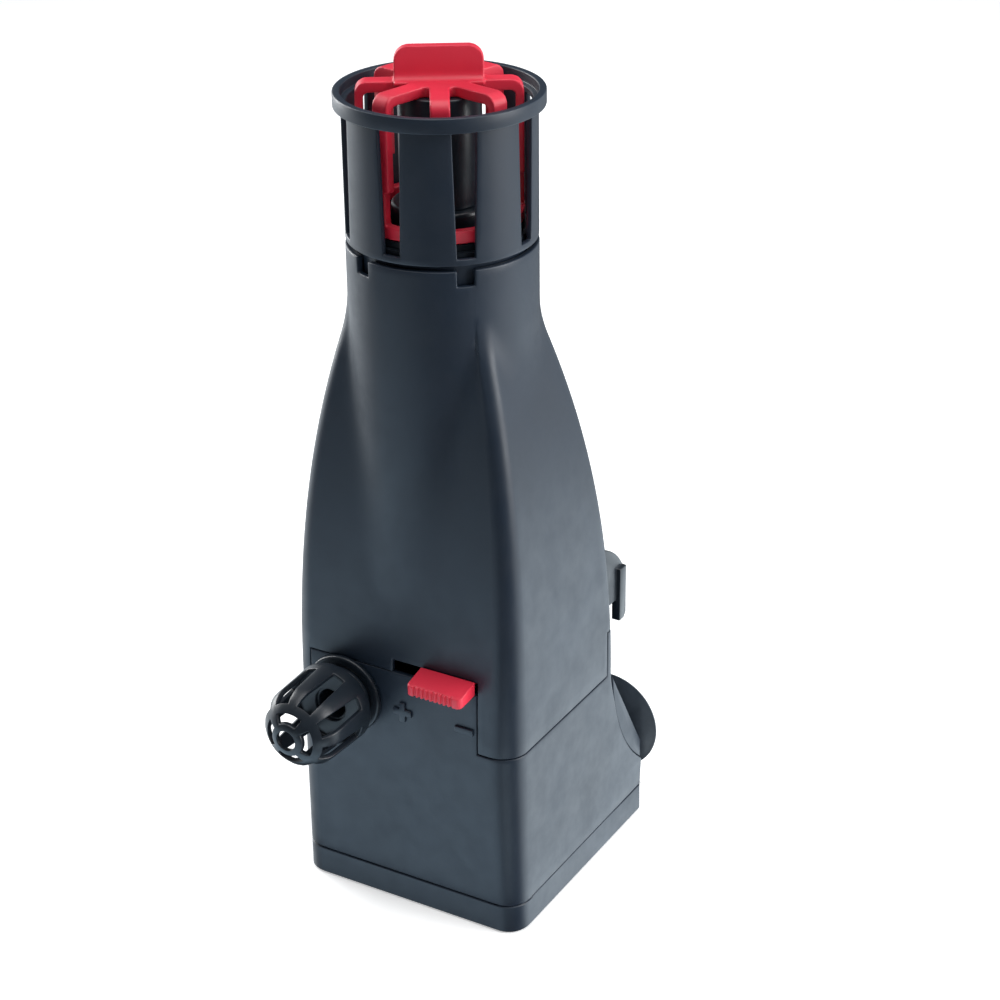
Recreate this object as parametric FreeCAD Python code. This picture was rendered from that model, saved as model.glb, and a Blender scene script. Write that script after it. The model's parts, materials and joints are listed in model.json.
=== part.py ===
import FreeCAD, Part
import math
import os
from FreeCAD import Vector

# Internal aquarium power filter with a floating surface inlet.
# Millimetres, +Z up. The origin is on the underside of the base, on the axis of the round neck.
# The front, with the flow slider and the outlet nozzle, faces -Y. The suction cups face +Y.
# Azimuths are counted in degrees from -Y towards +X.

# ---- driving dimensions ------------------------------------------------------------------

# casing
BASE_TOP = 9.8            # joint between the base plate and the pump housing
PARTING_Z = 61.5          # joint between the pump housing and the filter chamber
NECK_TOP = 205.7
NECK_R = 26.95
WALL = 2.0
FOOT_HALF_WIDTH = 38.45   # at the underside
HALF_WIDTH = 38.1         # at the parting line
FOOT_FRONT = 28.0
FRONT_DEPTH = 29.1
BACK_DEPTH = 33.2
TAPER_HEIGHT = 119.0      # height over which the three drops below are reached
WIDTH_DROP, WIDTH_POWER = 13.6, 2.6
FRONT_DROP, FRONT_POWER = 11.4, 1.8
BACK_DROP, BACK_POWER = 16.3, 1.9
FRONT_CORNER_R, FRONT_SHARPENING = 8.0, 4.0   # the front corners tighten over the taper's height
BACK_CORNER_R, BACK_WIDENING = 3.0, 2.0
SHOULDER_TOP = 197.0      # the tapering chamber ends here, inside the neck
SHOULDER_STEPS = 11
SEAM = 0.3                # height of the shadow groove at a joint
SEAM_DEPTH = 0.7
PANEL_GAP = 0.15          # side gap round the raised panels
LIP_Z0, LIP_Z1 = 54.5, 66.0   # inner lip that the chamber slides over
LIP_INSET, LIP_WALL = 3.8, 1.2
SEAL_Z0, SEAL_Z1 = 56.7, 58.9

# raised panels of the pump housing
PANEL_LEFT, PANEL_RIGHT = -31.5, 25.9
PANEL_TOP = 80.7
REAR_TAB_Y, REAR_TAB_TOP = 28.8, 76.5

# base plate and its fasteners
PLATE_BEVEL, PLATE_FLOOR = 0.6, 2.4
SCREW_PLACES = [(x, y) for x in (-31.5, 31.5) for y in (-21.5, 46.0)]
POST_R, BOSS_R, BOSS_TOP = 4.4, 5.2, 22.0
SCREW_R, SCREW_TOP, PILOT_R, CLEAR_R = 1.3, 18.0, 1.35, 1.8
HEAD_R, HEAD_Z0, HEAD_Z1, COUNTERBORE_R = 3.0, 1.4, 3.6, 3.3
SCREW_SLOT, SCREW_SLOT_R, SCREW_SLOT_TOP = 0.9, 1.8, 2.5

# foot and rear flare
FOOT_Y = 53.0
FOOT_TOP = 18.8
FLARE_Y, FLARE_Z = 38.6, 37.0
CARRIER_HALF_WIDTH = 37.6
CARRIER_TOP_Z = 58.5
CARRIER_KNEE_Z = 25.5
FIT_GAP = 0.15

# suction cups and their empty upper brackets
CUP_X, CUP_Z = 24.0, 26.6
CUP_R = 17.0
CUP_FACE_Y = 58.0
STUD_R, STUD_Y, HUB_R = 2.9, 49.5, 6.2
BRACKET_X = 28.0
BRACKET_HALF = 6.0
BRACKET_Y0, BRACKET_Y1 = 44.3, 48.5
BRACKET_Z0, BRACKET_Z1 = 72.0, 90.0
BRACKET_SLOT, BRACKET_SLOT_TOP = 6.2, 81.0
BRACKET_ROOT_Y, BRACKET_ROOT_Z0, BRACKET_ROOT_Z1 = 24.0, 94.0, 101.0
CHEEK_INSET, CHEEK_THICK, CHEEK_Z0 = 1.4, 2.0, 79.0

# inlet cage with its bayonet collar
CAGE_R, CAGE_WALL = 26.85, 1.6
CAGE_Z0, CAGE_Z1 = 207.2, 244.4
CAGE_SLOTS = 8
SLOT_Z0, SLOT_Z1 = 209.0, 244.1
SLOT_HALF_TOP, SLOT_HALF_LOW = 7.5, 5.6      # degrees
RIM_R, RIM_IN_R, RIM_TOP = 29.0, 26.9, 248.6
COLLAR_R, COLLAR_IN_R, COLLAR_Z0 = 24.75, 23.55, 190.0
FLOOR_TOP = 208.4
NECK_IN_R = 25.05
NOTCH_AZIMUTHS = (-23.0, 45.0, 157.0, 225.0)
NOTCH_HALF = 5.4                              # degrees
NOTCH_DEPTH = 4.5
LUG_Z0, LUG_Z1, LUG_R = 199.0, 201.0, 25.75
LUG_TURN = 18.0                               # degrees between notch and locked place
LUG_PLAY = 0.3

# float
FLOAT_AZIMUTH = 32.0
FLOAT_ARMS = 8
ARM_WIDTH, ARM_R, ARM_ROOT_R = 5.3, 22.8, 7.2
ARM_TOP, ARM_UNDER = 251.2, 248.2
SHOULDER_R = 3.4
LEG_THICK, LEG_STEP_Z, LEG_FOOT_WIDTH = 2.2, 225.0, 2.2
RING_R, RING_IN_R, RING_Z0, RING_Z1 = 23.0, 20.2, 212.1, 215.6
DISC_R = 9.8
GRIP_WIDTH, GRIP_THICK, GRIP_TOP = 24.3, 3.0, 260.5
GRIP_CORNER_R, GRIP_FOOT_R = 4.2, 2.4
FLOAT_R, FLOAT_Z0 = 11.5, 217.2
FLOAT_BASE_R, FLOAT_BASE_Z0 = 14.0, 211.6
SLEEVE_R, SLEEVE_IN_R, SLEEVE_Z0, SLEEVE_Z1 = 22.9, 21.7, 186.0, 211.8
SLEEVE_FLANGE_R = 24.4
FLANGE_Z0, FLANGE_Z1 = 208.7, 209.9

# outlet: socket in the front panel, swivel ring, ball nozzle
OUTLET_X, OUTLET_Z = -19.0, 69.5
PIVOT_Y = -29.5
SOCKET_R, SOCKET_BORE_R, SOCKET_FLANGE_R = 10.0, 9.4, 12.5
SOCKET_FRONT, SOCKET_BACK = -31.0, -23.5
RING_RUN_R, RING_FRONT, RING_BACK = 9.34, -32.0, -24.4
SEAT_R, BALL_R, BALL_NECK_R, BALL_BORE_R = 7.7, 7.4, 5.8, 4.6
SKIRT_Y, SKIRT_R = -35.5, 12.9
DOME_Y, DOME_R, DOME_LENGTH = -50.0, 12.4, 11.0
NOZZLE_WALL = 1.6
NOZZLE_SLOTS = 8
TIP_HOLE_R = 3.1
WINDOW_BACK_HALF, WINDOW_FRONT_HALF = 2.0, 2.6  # half widths at the two ends of a side window
WINDOW_Y0, WINDOW_Y1 = -39.5, -56.3
NOSE_HALF, NOSE_R0, NOSE_R1 = 36.0, 5.2, 7.8    # half angle in degrees, inner and outer radius

# flow control
SLIT_LEFT, SLIT_RIGHT, SLIT_TOP = -2.7, 25.8, 84.8
SLIDER_LEFT, SLIDER_RIGHT = 7.4, 25.5
SLIDER_Z0, SLIDER_Z1 = 81.0, 84.5
GRIP_TOP_BACK, GRIP_TOP_FRONT, GRIP_LOW = 85.4, 83.6, 80.4
SLIDER_FRONT = -37.3
SLIDER_TRAVEL = 9.0
SHUTTER_Z0, SHUTTER_Z1 = 80.3, 81.9
PLUS_X, MINUS_X, MARK_Z = 0.8, 21.8, 68.4
MARK_LENGTH, MARK_WIDTH, MARK_RAISE = 6.3, 2.0, 0.5

# pump
PUMP_X, PUMP_Y = 10.0, 2.0
MOTOR_HALF_X, MOTOR_HALF_Y = 20.0, 19.0
MOTOR_Z0, MOTOR_Z1 = 12.0, 61.8
WELL_R, WELL_Z0 = 10.2, 26.0
CHAMBER_R, CHAMBER_IN_R = 18.0, 16.0
CHAMBER_Z0, CHAMBER_Z1 = 62.0, 77.0
DUCT_Y, DUCT_R, DUCT_IN_R = -8.0, 7.4, 5.6
COVER_TOP = 79.8
EYE_R = 7.0
SHAFT_R, SHAFT_Z0, SHAFT_Z1 = 1.25, 22.0, 79.0
SHAFT_PLAY = 0.05
BUSH_R, BUSH_EYE_R = 3.5, 2.3
MAGNET_R, MAGNET_BORE_R, MAGNET_Z0, MAGNET_Z1 = 9.4, 4.0, 28.0, 57.0
IMPELLER_R, IMPELLER_DISC, HUB_TOP, COLLAR_OUT_R = 14.2, 1.4, 76.0, 6.0
VANES, VANE_THICK = 7, 1.0
VANE_Z0, VANE_Z1 = 66.0, 74.0
VANE_CURVE_R, VANE_CENTRE_X, VANE_CENTRE_Y = 9.4, 8.6, 5.0
WASHER_R, WASHER_THICK = 2.6, 0.75
EAR_R, EAR_AT_R, EAR_HEIGHT = 3.0, 19.5, 11.0
EAR_ANGLES = (45.0, 135.0, 315.0)
EAR_PILOT_R, EAR_CLEAR_R = 1.1, 1.4
COVER_SCREW_R, COVER_HEAD_R, COVER_HEAD = 1.05, 2.2, 1.6
SPIDER_HUB_R, SPIDER_ARM = 3.4, 1.6
CORE_REACH, CORE_LEG, CORE_HALF_DEPTH = 17.5, 5.0, 6.0
YOKE_Z0, YOKE_Z1, CORE_TOP = 14.5, 20.5, 56.0
COIL_HALF, COIL_Z0, COIL_Z1 = 10.0, 12.8, 21.8
POT_GAP = 0.1             # round the potted core and winding

# sponge and its grid
GRID_Z0, GRID_Z1 = 86.5, 88.5
GRID_PITCH, GRID_SLOT, GRID_SPINE = 7.2, 4.0, 3.0
GRID_LEG_X, GRID_LEG_THICK, GRID_LEG_Z0 = 32.9, 1.4, 66.0
SPONGE_TOP = 165.0

# cord inlet
GLAND_Z, GLAND_R, GLAND_BORE_R, GLAND_FLANGE_R = 14.4, 3.4, 2.6, 4.3
GLAND_Y0, GLAND_Y1, GLAND_FLANGE = 48.2, 57.0, 1.4


# ---- plain solids ------------------------------------------------------------------------

def block(x0, x1, y0, y1, z0, z1):
    return Part.makeBox(x1 - x0, y1 - y0, z1 - z0, Vector(x0, y0, z0))


def rod(x, y, z0, z1, r):
    return Part.makeCylinder(r, z1 - z0, Vector(x, y, z0))


def rod_y(x, z, y0, y1, r):
    return Part.makeCylinder(r, y1 - y0, Vector(x, y0, z), Vector(0, 1, 0))


def rod_x(y, z, x0, x1, r):
    return Part.makeCylinder(r, x1 - x0, Vector(x0, y, z), Vector(1, 0, 0))


def tube(x, y, z0, z1, r, r_in):
    return rod(x, y, z0, z1, r).cut(rod(x, y, z0 - 1, z1 + 1, r_in))


def fuse(shapes):
    return shapes[0].multiFuse(shapes[1:]).removeSplitter()


def turned(shape, azimuth):
    """A shape built towards -Y, turned about the neck axis to an azimuth."""
    copy = shape.copy()
    copy.rotate(Vector(0, 0, 0), Vector(0, 0, 1), azimuth)
    return copy


def sector(r_in, r_out, z0, z1, azimuth, half_angle):
    """A piece of a ring, centred on an azimuth."""
    whole = Part.makeCylinder(r_out, z1 - z0, Vector(0, 0, z0), Vector(0, 0, 1), 2 * half_angle)
    piece = whole.cut(rod(0, 0, z0 - 1, z1 + 1, r_in))
    return turned(piece, azimuth - half_angle - 90)


def prism_x(edges, x0, x1):
    """Edges drawn in the YZ plane, closed and extruded from x0 to x1."""
    face = Part.Face(Part.Wire(edges))
    face.translate(Vector(x0, 0, 0))
    return face.extrude(Vector(x1 - x0, 0, 0))


def line(a, b):
    return Part.LineSegment(a, b).toShape()


def arc(a, b, c):
    return Part.Arc(a, b, c).toShape()


def path_yz(points):
    """Straight edges through (y, z) points."""
    vectors = [Vector(0, y, z) for y, z in points]
    return [line(a, b) for a, b in zip(vectors, vectors[1:])]


# ---- the casing's outline ----------------------------------------------------------------

def drop(z, amount, power):
    return amount * (max(0.0, z - PARTING_Z) / TAPER_HEIGHT) ** power


def foot_share(z):
    return max(0.0, 1 - z / PARTING_Z)


def half_width(z):
    return HALF_WIDTH + (FOOT_HALF_WIDTH - HALF_WIDTH) * foot_share(z) - drop(z, WIDTH_DROP, WIDTH_POWER)


def front_depth(z):
    return FRONT_DEPTH + (FOOT_FRONT - FRONT_DEPTH) * foot_share(z) - drop(z, FRONT_DROP, FRONT_POWER)


def back_depth(z):
    return BACK_DEPTH - drop(z, BACK_DROP, BACK_POWER)


def outline(z, inset, back=None, back_r=None):
    """The casing's rounded rectangle at a height, set in from the outer face."""
    rise = max(0.0, z - PARTING_Z) / TAPER_HEIGHT
    x = half_width(z) - inset
    f = front_depth(z) - inset
    b = (back_depth(z) if back is None else back) - inset
    rf = max(FRONT_CORNER_R - foot_share(z) - FRONT_SHARPENING * rise - inset, 1.0)
    rb = max((BACK_CORNER_R + BACK_WIDENING * rise if back_r is None else back_r) - inset, 0.6)
    h = 1 - math.sqrt(0.5)
    p = [Vector(-x + rf, -f, z), Vector(x - rf, -f, z), Vector(x, -f + rf, z), Vector(x, b - rb, z),
         Vector(x - rb, b, z), Vector(-x + rb, b, z), Vector(-x, b - rb, z), Vector(-x, -f + rf, z)]
    m = [Vector(x - rf * h, -f + rf * h, z), Vector(x - rb * h, b - rb * h, z),
         Vector(-x + rb * h, b - rb * h, z), Vector(-x + rf * h, -f + rf * h, z)]
    return Part.Wire([line(p[0], p[1]), arc(p[1], m[0], p[2]), line(p[2], p[3]), arc(p[3], m[1], p[4]),
                      line(p[4], p[5]), arc(p[5], m[2], p[6]), line(p[6], p[7]), arc(p[7], m[3], p[0])])


def casing(z0, z1, inset, steps=1, back=None, back_r=None):
    """The solid inside the casing's outline between two heights."""
    heights = [z0 + (z1 - z0) * i / steps for i in range(steps + 1)]
    return Part.makeLoft([outline(z, inset, back, back_r) for z in heights], True, steps == 1)


def casing_ring(z0, z1, inset, inset_in, **shape):
    """A ring that follows the casing's outline between two insets."""
    return casing(z0, z1, inset, **shape).cut(casing(z0 - 0.01, z1 + 0.01, inset_in, **shape))


def chamber_solid(z0, inset):
    return casing(z0, SHOULDER_TOP, inset, SHOULDER_STEPS)


# ---- lower casing ------------------------------------------------------------------------

def flare_profile(inset, bottom):
    """Everything in front of the scooped back of the foot, as edges in the YZ plane."""
    foot = FOOT_Y - inset
    a = Vector(0, foot, FOOT_TOP)
    b = Vector(0, FLARE_Y - inset, FLARE_Z - inset * 0.5)
    c = Vector(0, BACK_DEPTH - inset, PARTING_Z)
    front = -60.0
    return [line(Vector(0, front, bottom), Vector(0, foot, bottom)), line(Vector(0, foot, bottom), a),
            arc(a, b, c), line(c, Vector(0, front, PARTING_Z)),
            line(Vector(0, front, PARTING_Z), Vector(0, front, bottom))]


def lower_solid(z0, inset, corner):
    long_box = casing(z0, PARTING_Z, inset, back=70.0, back_r=corner)
    return long_box.common(prism_x(flare_profile(inset, z0), -60, 60))


def raised_panels(grow):
    """The front panel and the rear tab that stand up outside the filter chamber's walls."""
    front = block(PANEL_LEFT - grow, PANEL_RIGHT + grow, -45, -20, PARTING_Z - 1, PANEL_TOP + grow)
    rear = block(-45, 45, REAR_TAB_Y - grow, 45, PARTING_Z - 1, REAR_TAB_TOP + grow)
    return front.fuse(rear)


def flow_marks():
    """Raised plus and minus signs under the slider."""
    half, thick = MARK_LENGTH / 2, MARK_WIDTH / 2
    y0, y1 = -front_depth(MARK_Z) - MARK_RAISE, -front_depth(MARK_Z) + 1
    return [block(PLUS_X - half, PLUS_X + half, y0, y1, MARK_Z - thick, MARK_Z + thick),
            block(PLUS_X - thick, PLUS_X + thick, y0, y1, MARK_Z - half, MARK_Z + half),
            block(MINUS_X - half, MINUS_X + half, y0, y1, MARK_Z - thick, MARK_Z + thick)]


def base_plate():
    bevel = PLATE_BEVEL
    bottom = Part.makeLoft([outline(0, bevel, FOOT_Y, 2.0), outline(bevel, 0, FOOT_Y, 2.0)], True, True)
    solid = casing(bevel, BASE_TOP, 0, back=FOOT_Y, back_r=2.0).fuse(bottom)
    solid = solid.cut(casing(PLATE_FLOOR, BASE_TOP + 0.1, WALL, back=FOOT_Y, back_r=3.0))
    groove = casing_ring(BASE_TOP - SEAM, BASE_TOP + 0.01, -1.0, SEAM_DEPTH, back=FOOT_Y, back_r=2.0)
    ends = block(-50, 50, -50, -20, 0, 20).fuse(block(-50, 50, 33.0, 60, 0, 20))
    solid = solid.cut(groove.common(ends))
    inside = casing(bevel, BASE_TOP, WALL / 4, back=FOOT_Y, back_r=2.0)
    for x, y in SCREW_PLACES:
        solid = solid.fuse(rod(x, y, 1.0, BASE_TOP, POST_R).common(inside))
    for x, y in SCREW_PLACES:
        solid = solid.cut(rod(x, y, -1, 20, CLEAR_R)).cut(rod(x, y, -1, HEAD_Z1, COUNTERBORE_R))
    return solid.removeSplitter()


def lower_housing():
    outer = lower_solid(BASE_TOP, 0, 2.0)
    inner = lower_solid(BASE_TOP, WALL, 3.0)
    shell = outer.cut(inner)
    walls = chamber_solid(PARTING_Z, 0).cut(chamber_solid(PARTING_Z, WALL))
    parts = [shell, walls.common(raised_panels(0))]
    lip = casing_ring(LIP_Z0, LIP_Z1, LIP_INSET, LIP_INSET + LIP_WALL)
    lip = lip.fuse(casing_ring(LIP_Z0, SEAL_Z0 - 0.1, WALL - 0.2, LIP_INSET + LIP_WALL))
    parts.append(lip)
    inside = lower_solid(BASE_TOP, 0.5, 2.5)
    parts += [rod(x, y, BASE_TOP, BOSS_TOP, BOSS_R).common(inside) for x, y in SCREW_PLACES]
    solid = fuse(parts + flow_marks())
    for x, y in SCREW_PLACES:
        solid = solid.cut(rod(x, y, 0, SCREW_TOP + 2, PILOT_R))
    solid = solid.cut(rod_y(OUTLET_X, OUTLET_Z, -40, -20, SOCKET_R + 0.02))
    return solid.cut(rod_y(0, GLAND_Z, 45, 60, GLAND_R + 0.02))


def cup_carrier():
    """The wedge behind the foot that holds the suction cups."""
    a = Vector(0, FOOT_Y, FOOT_TOP)
    b = Vector(0, FLARE_Y + FIT_GAP, FLARE_Z + FIT_GAP)
    c = Vector(0, BACK_DEPTH + FIT_GAP, CARRIER_TOP_Z)
    knee = Vector(0, FOOT_Y, CARRIER_KNEE_Z)
    solid = prism_x([arc(a, b, c), line(c, knee), line(knee, a)], -CARRIER_HALF_WIDTH, CARRIER_HALF_WIDTH)
    solid = solid.cut(lower_solid(BASE_TOP, -FIT_GAP, 2.0))
    for x in (-CUP_X, CUP_X):
        solid = solid.cut(rod_y(x, CUP_Z, STUD_Y - 0.1, 60, STUD_R + 0.02))
    return solid


def suction_cup(x):
    """A bell with a hub and a stud, its rim on the glass plane."""
    y = CUP_FACE_Y
    hub = FOOT_Y + 0.05
    outside = [(hub, STUD_R), (hub, HUB_R), (y - 3.6, HUB_R + 0.8), (y - 1.1, CUP_R - 0.4), (y - 0.5, CUP_R)]
    rim = [(y, CUP_R - 0.3), (y, CUP_R - 1.8), (y - 1.0, CUP_R - 2.6)]
    inside = [(y - 2.4, HUB_R - 1.2), (y - 2.6, 0)]
    profile = [(STUD_Y, 0), (STUD_Y, STUD_R)] + outside + rim + inside + [(STUD_Y, 0)]
    face = Part.Face(Part.makePolygon([Vector(x + r, yy, CUP_Z) for yy, r in profile]))
    return face.revolve(Vector(x, 0, CUP_Z), Vector(0, 1, 0), 360)


def bracket(x):
    """An empty keyhole bracket for a further suction cup, open at its lower end."""
    x0, x1 = x - BRACKET_HALF, x + BRACKET_HALF
    y_in, y0, y1, r = BRACKET_ROOT_Y, BRACKET_Y0, BRACKET_Y1, BRACKET_SLOT / 2
    plate = block(x0, x1, y0, y1, BRACKET_Z0, BRACKET_Z1)
    cheeks = [block(a, a + CHEEK_THICK, y_in, y0, CHEEK_Z0, BRACKET_Z1)
              for a in (x0 + CHEEK_INSET, x1 - CHEEK_INSET - CHEEK_THICK)]
    roof = [arc(Vector(0, y_in, BRACKET_ROOT_Z1), Vector(0, 41, 97.5), Vector(0, y1, BRACKET_Z1))]
    roof += path_yz([(y1, BRACKET_Z1), (y1, BRACKET_Z1 - 2), (y0, BRACKET_Z1 - 2), (y_in, BRACKET_ROOT_Z0),
                     (y_in, BRACKET_ROOT_Z1)])
    solid = fuse([plate, prism_x(roof, x0 + CHEEK_INSET, x1 - CHEEK_INSET)] + cheeks)
    slot = block(x - r, x + r, y0 - 1, y1 + 1, BRACKET_Z0 - 5, BRACKET_SLOT_TOP)
    slot = slot.fuse(rod_y(x, BRACKET_SLOT_TOP, y0 - 1, y1 + 1, r))
    low = BRACKET_Z0 - 1
    toe = path_yz([(y1 + 1, low + 3.6), (y1 - 2.2, low), (y1 + 1, low), (y1 + 1, low + 3.6)])
    return solid.cut(slot).cut(prism_x(toe, x0 - 1, x1 + 1)).cut(chamber_solid(PARTING_Z, 0))


def base_screws():
    screws = []
    for x, y in SCREW_PLACES:
        head = rod(x, y, HEAD_Z0, HEAD_Z1, HEAD_R)
        r, w, top = SCREW_SLOT_R, SCREW_SLOT / 2, SCREW_SLOT_TOP
        cross = block(x - r, x + r, y - w, y + w, 1, top).fuse(block(x - w, x + w, y - r, y + r, 1, top))
        screws.append(head.fuse(rod(x, y, HEAD_Z1, SCREW_TOP, SCREW_R)).cut(cross))
    return Part.makeCompound(screws)


def cable_gland():
    inner_end = FOOT_Y - WALL - 0.2
    body = fuse([rod_y(0, GLAND_Z, GLAND_Y0, GLAND_Y1, GLAND_R),
                 rod_y(0, GLAND_Z, GLAND_Y0, inner_end, GLAND_FLANGE_R),
                 rod_y(0, GLAND_Z, FOOT_Y, FOOT_Y + GLAND_FLANGE, GLAND_FLANGE_R)])
    return body.cut(rod_y(0, GLAND_Z, 40, 60, GLAND_BORE_R))


# ---- filter chamber ----------------------------------------------------------------------

def bayonet_cuts():
    cuts = []
    for azimuth in NOTCH_AZIMUTHS:
        cuts.append(sector(NECK_IN_R - 1, NECK_R + 1, NECK_TOP - NOTCH_DEPTH, NECK_TOP + 1, azimuth,
                           NOTCH_HALF))
        groove_centre = azimuth + LUG_TURN / 2
        cuts.append(sector(NECK_IN_R - 1, LUG_R + LUG_PLAY, LUG_Z0 - LUG_PLAY, LUG_Z1 + LUG_PLAY,
                           groove_centre, LUG_TURN / 2 + NOTCH_HALF + 1.5))
    return cuts


def upper_housing():
    outer = chamber_solid(PARTING_Z, 0).fuse(rod(0, 0, 92, NECK_TOP, NECK_R))
    inner = chamber_solid(PARTING_Z, WALL).fuse(rod(0, 0, 90, NECK_TOP + 1, NECK_IN_R))
    solid = outer.cut(inner).cut(raised_panels(PANEL_GAP))
    solid = solid.cut(block(SLIT_LEFT, SLIT_RIGHT + PANEL_GAP, -45, -20, PANEL_TOP - 1, SLIT_TOP))
    groove = casing_ring(PARTING_Z - 0.01, PARTING_Z + SEAM, -1.0, SEAM_DEPTH)
    solid = solid.cut(groove)
    for cut in bayonet_cuts():
        solid = solid.cut(cut)
    return solid


def chamber_seal():
    return casing_ring(SEAL_Z0, SEAL_Z1, WALL + 0.15, LIP_INSET - 0.15)


def sponge_grid():
    plate = casing(GRID_Z0, GRID_Z1, 2.6)
    for i in range(-4, 5):
        x0, x1 = i * GRID_PITCH - GRID_SLOT / 2, i * GRID_PITCH + GRID_SLOT / 2
        plate = plate.cut(block(x0, x1, -22, -GRID_SPINE / 2, GRID_Z0 - 1, GRID_Z1 + 1))
        plate = plate.cut(block(x0, x1, GRID_SPINE / 2, 26, GRID_Z0 - 1, GRID_Z1 + 1))
    legs = [block(x, x + GRID_LEG_THICK, -14, 18, GRID_LEG_Z0, GRID_Z0)
            for x in (-GRID_LEG_X - GRID_LEG_THICK, GRID_LEG_X)]
    return fuse([plate] + legs)


def filter_sponge():
    return casing(GRID_Z1 + 0.2, SPONGE_TOP, 3.3, 6)


# ---- inlet cage --------------------------------------------------------------------------

def cage_slot(azimuth):
    """A window that is narrower at its lower end."""
    reach = CAGE_R + 3
    def corner(degrees, z):
        return Vector(reach * math.tan(math.radians(degrees)), -reach, z)
    points = [corner(-SLOT_HALF_LOW, SLOT_Z0), corner(SLOT_HALF_LOW, SLOT_Z0),
              corner(SLOT_HALF_TOP, SLOT_Z1), corner(-SLOT_HALF_TOP, SLOT_Z1)]
    face = Part.Face(Part.makePolygon(points + points[:1]))
    window = face.extrude(Vector(0, 8, 0))
    return turned(window, azimuth)


def inlet_cage():
    in_r = CAGE_R - CAGE_WALL
    solid = fuse([tube(0, 0, CAGE_Z0, CAGE_Z1 + 1, CAGE_R, in_r),
                  tube(0, 0, CAGE_Z0, FLOOR_TOP, CAGE_R, COLLAR_IN_R),
                  tube(0, 0, COLLAR_Z0, FLOOR_TOP, COLLAR_R, COLLAR_IN_R)])
    for i in range(CAGE_SLOTS):
        solid = solid.cut(cage_slot(i * 360.0 / CAGE_SLOTS + 0.5))
    rim = tube(0, 0, CAGE_Z1, RIM_TOP, RIM_R, RIM_IN_R)
    seat = tube(0, 0, CAGE_Z1, CAGE_Z1 + 1.4, RIM_R, in_r)
    rim = fuse([rim, seat])
    rim = rim.makeFillet(0.7, [e for e in rim.Edges if e.BoundBox.ZMin > RIM_TOP - 0.01])
    lugs = [sector(COLLAR_R - 0.5, LUG_R, LUG_Z0, LUG_Z1, a + LUG_TURN, NOTCH_HALF - 0.6)
            for a in NOTCH_AZIMUTHS]
    return fuse([solid, rim] + lugs)


# ---- float -------------------------------------------------------------------------------

def float_arm():
    """One arm with a rounded shoulder and a leg, built towards -Y."""
    out, top = -ARM_R, ARM_TOP
    k = SHOULDER_R * (1 - math.sqrt(0.5))
    root = -ARM_ROOT_R
    edges = [arc(Vector(0, out, top - SHOULDER_R), Vector(0, out + k, top - k),
                 Vector(0, out + SHOULDER_R, top))]
    edges += path_yz([(out + SHOULDER_R, top), (root, top), (root, ARM_UNDER),
                      (out + LEG_THICK + 1.2, ARM_UNDER), (out + LEG_THICK, ARM_UNDER - 1.2),
                      (out + LEG_THICK, LEG_STEP_Z), (out, LEG_STEP_Z), (out, top - SHOULDER_R)])
    arm = prism_x(edges, -ARM_WIDTH / 2, ARM_WIDTH / 2)
    half = LEG_FOOT_WIDTH / 2
    shank = block(-half, half, out + 0.1, out + LEG_THICK, RING_Z0 + 1, LEG_STEP_Z + 1)
    return arm.fuse(shank)


def grip_tab():
    """The upright finger tab, with rounded top corners and a filleted foot."""
    half, z0, r = GRIP_WIDTH / 2, ARM_TOP - 1.5, GRIP_FOOT_R
    tab = block(-half, half, -GRIP_THICK / 2, GRIP_THICK / 2, z0, GRIP_TOP)
    top_edges = [e for e in tab.Edges if e.BoundBox.ZMin > GRIP_TOP - 0.01]
    tab = tab.makeFillet(GRIP_CORNER_R, [e for e in top_edges if e.BoundBox.YLength > GRIP_THICK - 0.01])
    reach = GRIP_THICK / 2 + r
    foot = block(-half, half, -reach, reach, z0, ARM_TOP + r)
    for y in (-reach, reach):
        foot = foot.cut(rod_x(y, ARM_TOP + r, -half - 1, half + 1, r))
    return tab.fuse(foot)


def float_frame():
    step = 360.0 / FLOAT_ARMS
    ring = tube(0, 0, RING_Z0, RING_Z1, RING_R, RING_IN_R)
    parts = [rod(0, 0, ARM_UNDER, ARM_TOP, DISC_R), ring, grip_tab()]
    parts += [turned(float_arm(), i * step) for i in range(FLOAT_ARMS)]
    frame = fuse(parts)
    return turned(frame, FLOAT_AZIMUTH)


def float_body():
    body = rod(0, 0, FLOAT_Z0, ARM_UNDER, FLOAT_R)
    return body.cut(rod(0, 0, FLOAT_Z0 - 1, ARM_UNDER - 1.6, FLOAT_R - 1.4))


def float_base():
    """The stepped cap that closes the hollow float from below."""
    cap = rod(0, 0, FLOAT_BASE_Z0, FLOAT_Z0, FLOAT_BASE_R)
    rims = [e for e in cap.Edges if e.BoundBox.ZLength < 0.01]
    cap = cap.makeFillet(1.4, rims)
    return cap.fuse(rod(0, 0, FLOAT_Z0 - 1, FLOAT_Z0 + 3, FLOAT_R - 1.5))


def weir_sleeve():
    return tube(0, 0, SLEEVE_Z0, SLEEVE_Z1, SLEEVE_R, SLEEVE_IN_R).fuse(
        tube(0, 0, FLANGE_Z0, FLANGE_Z1, SLEEVE_FLANGE_R, SLEEVE_IN_R)).removeSplitter()


# ---- outlet ------------------------------------------------------------------------------

def around_outlet(profile_edges):
    """Revolves edges drawn in the plane z = outlet height, with x counted from the outlet axis."""
    face = Part.Face(Part.Wire(profile_edges))
    face.translate(Vector(OUTLET_X, 0, OUTLET_Z))
    return face.revolve(Vector(OUTLET_X, 0, OUTLET_Z), Vector(0, 1, 0), 360)


def path_ry(points):
    vectors = [Vector(r, y, 0) for r, y in points]
    return [line(a, b) for a, b in zip(vectors, vectors[1:])]


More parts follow.
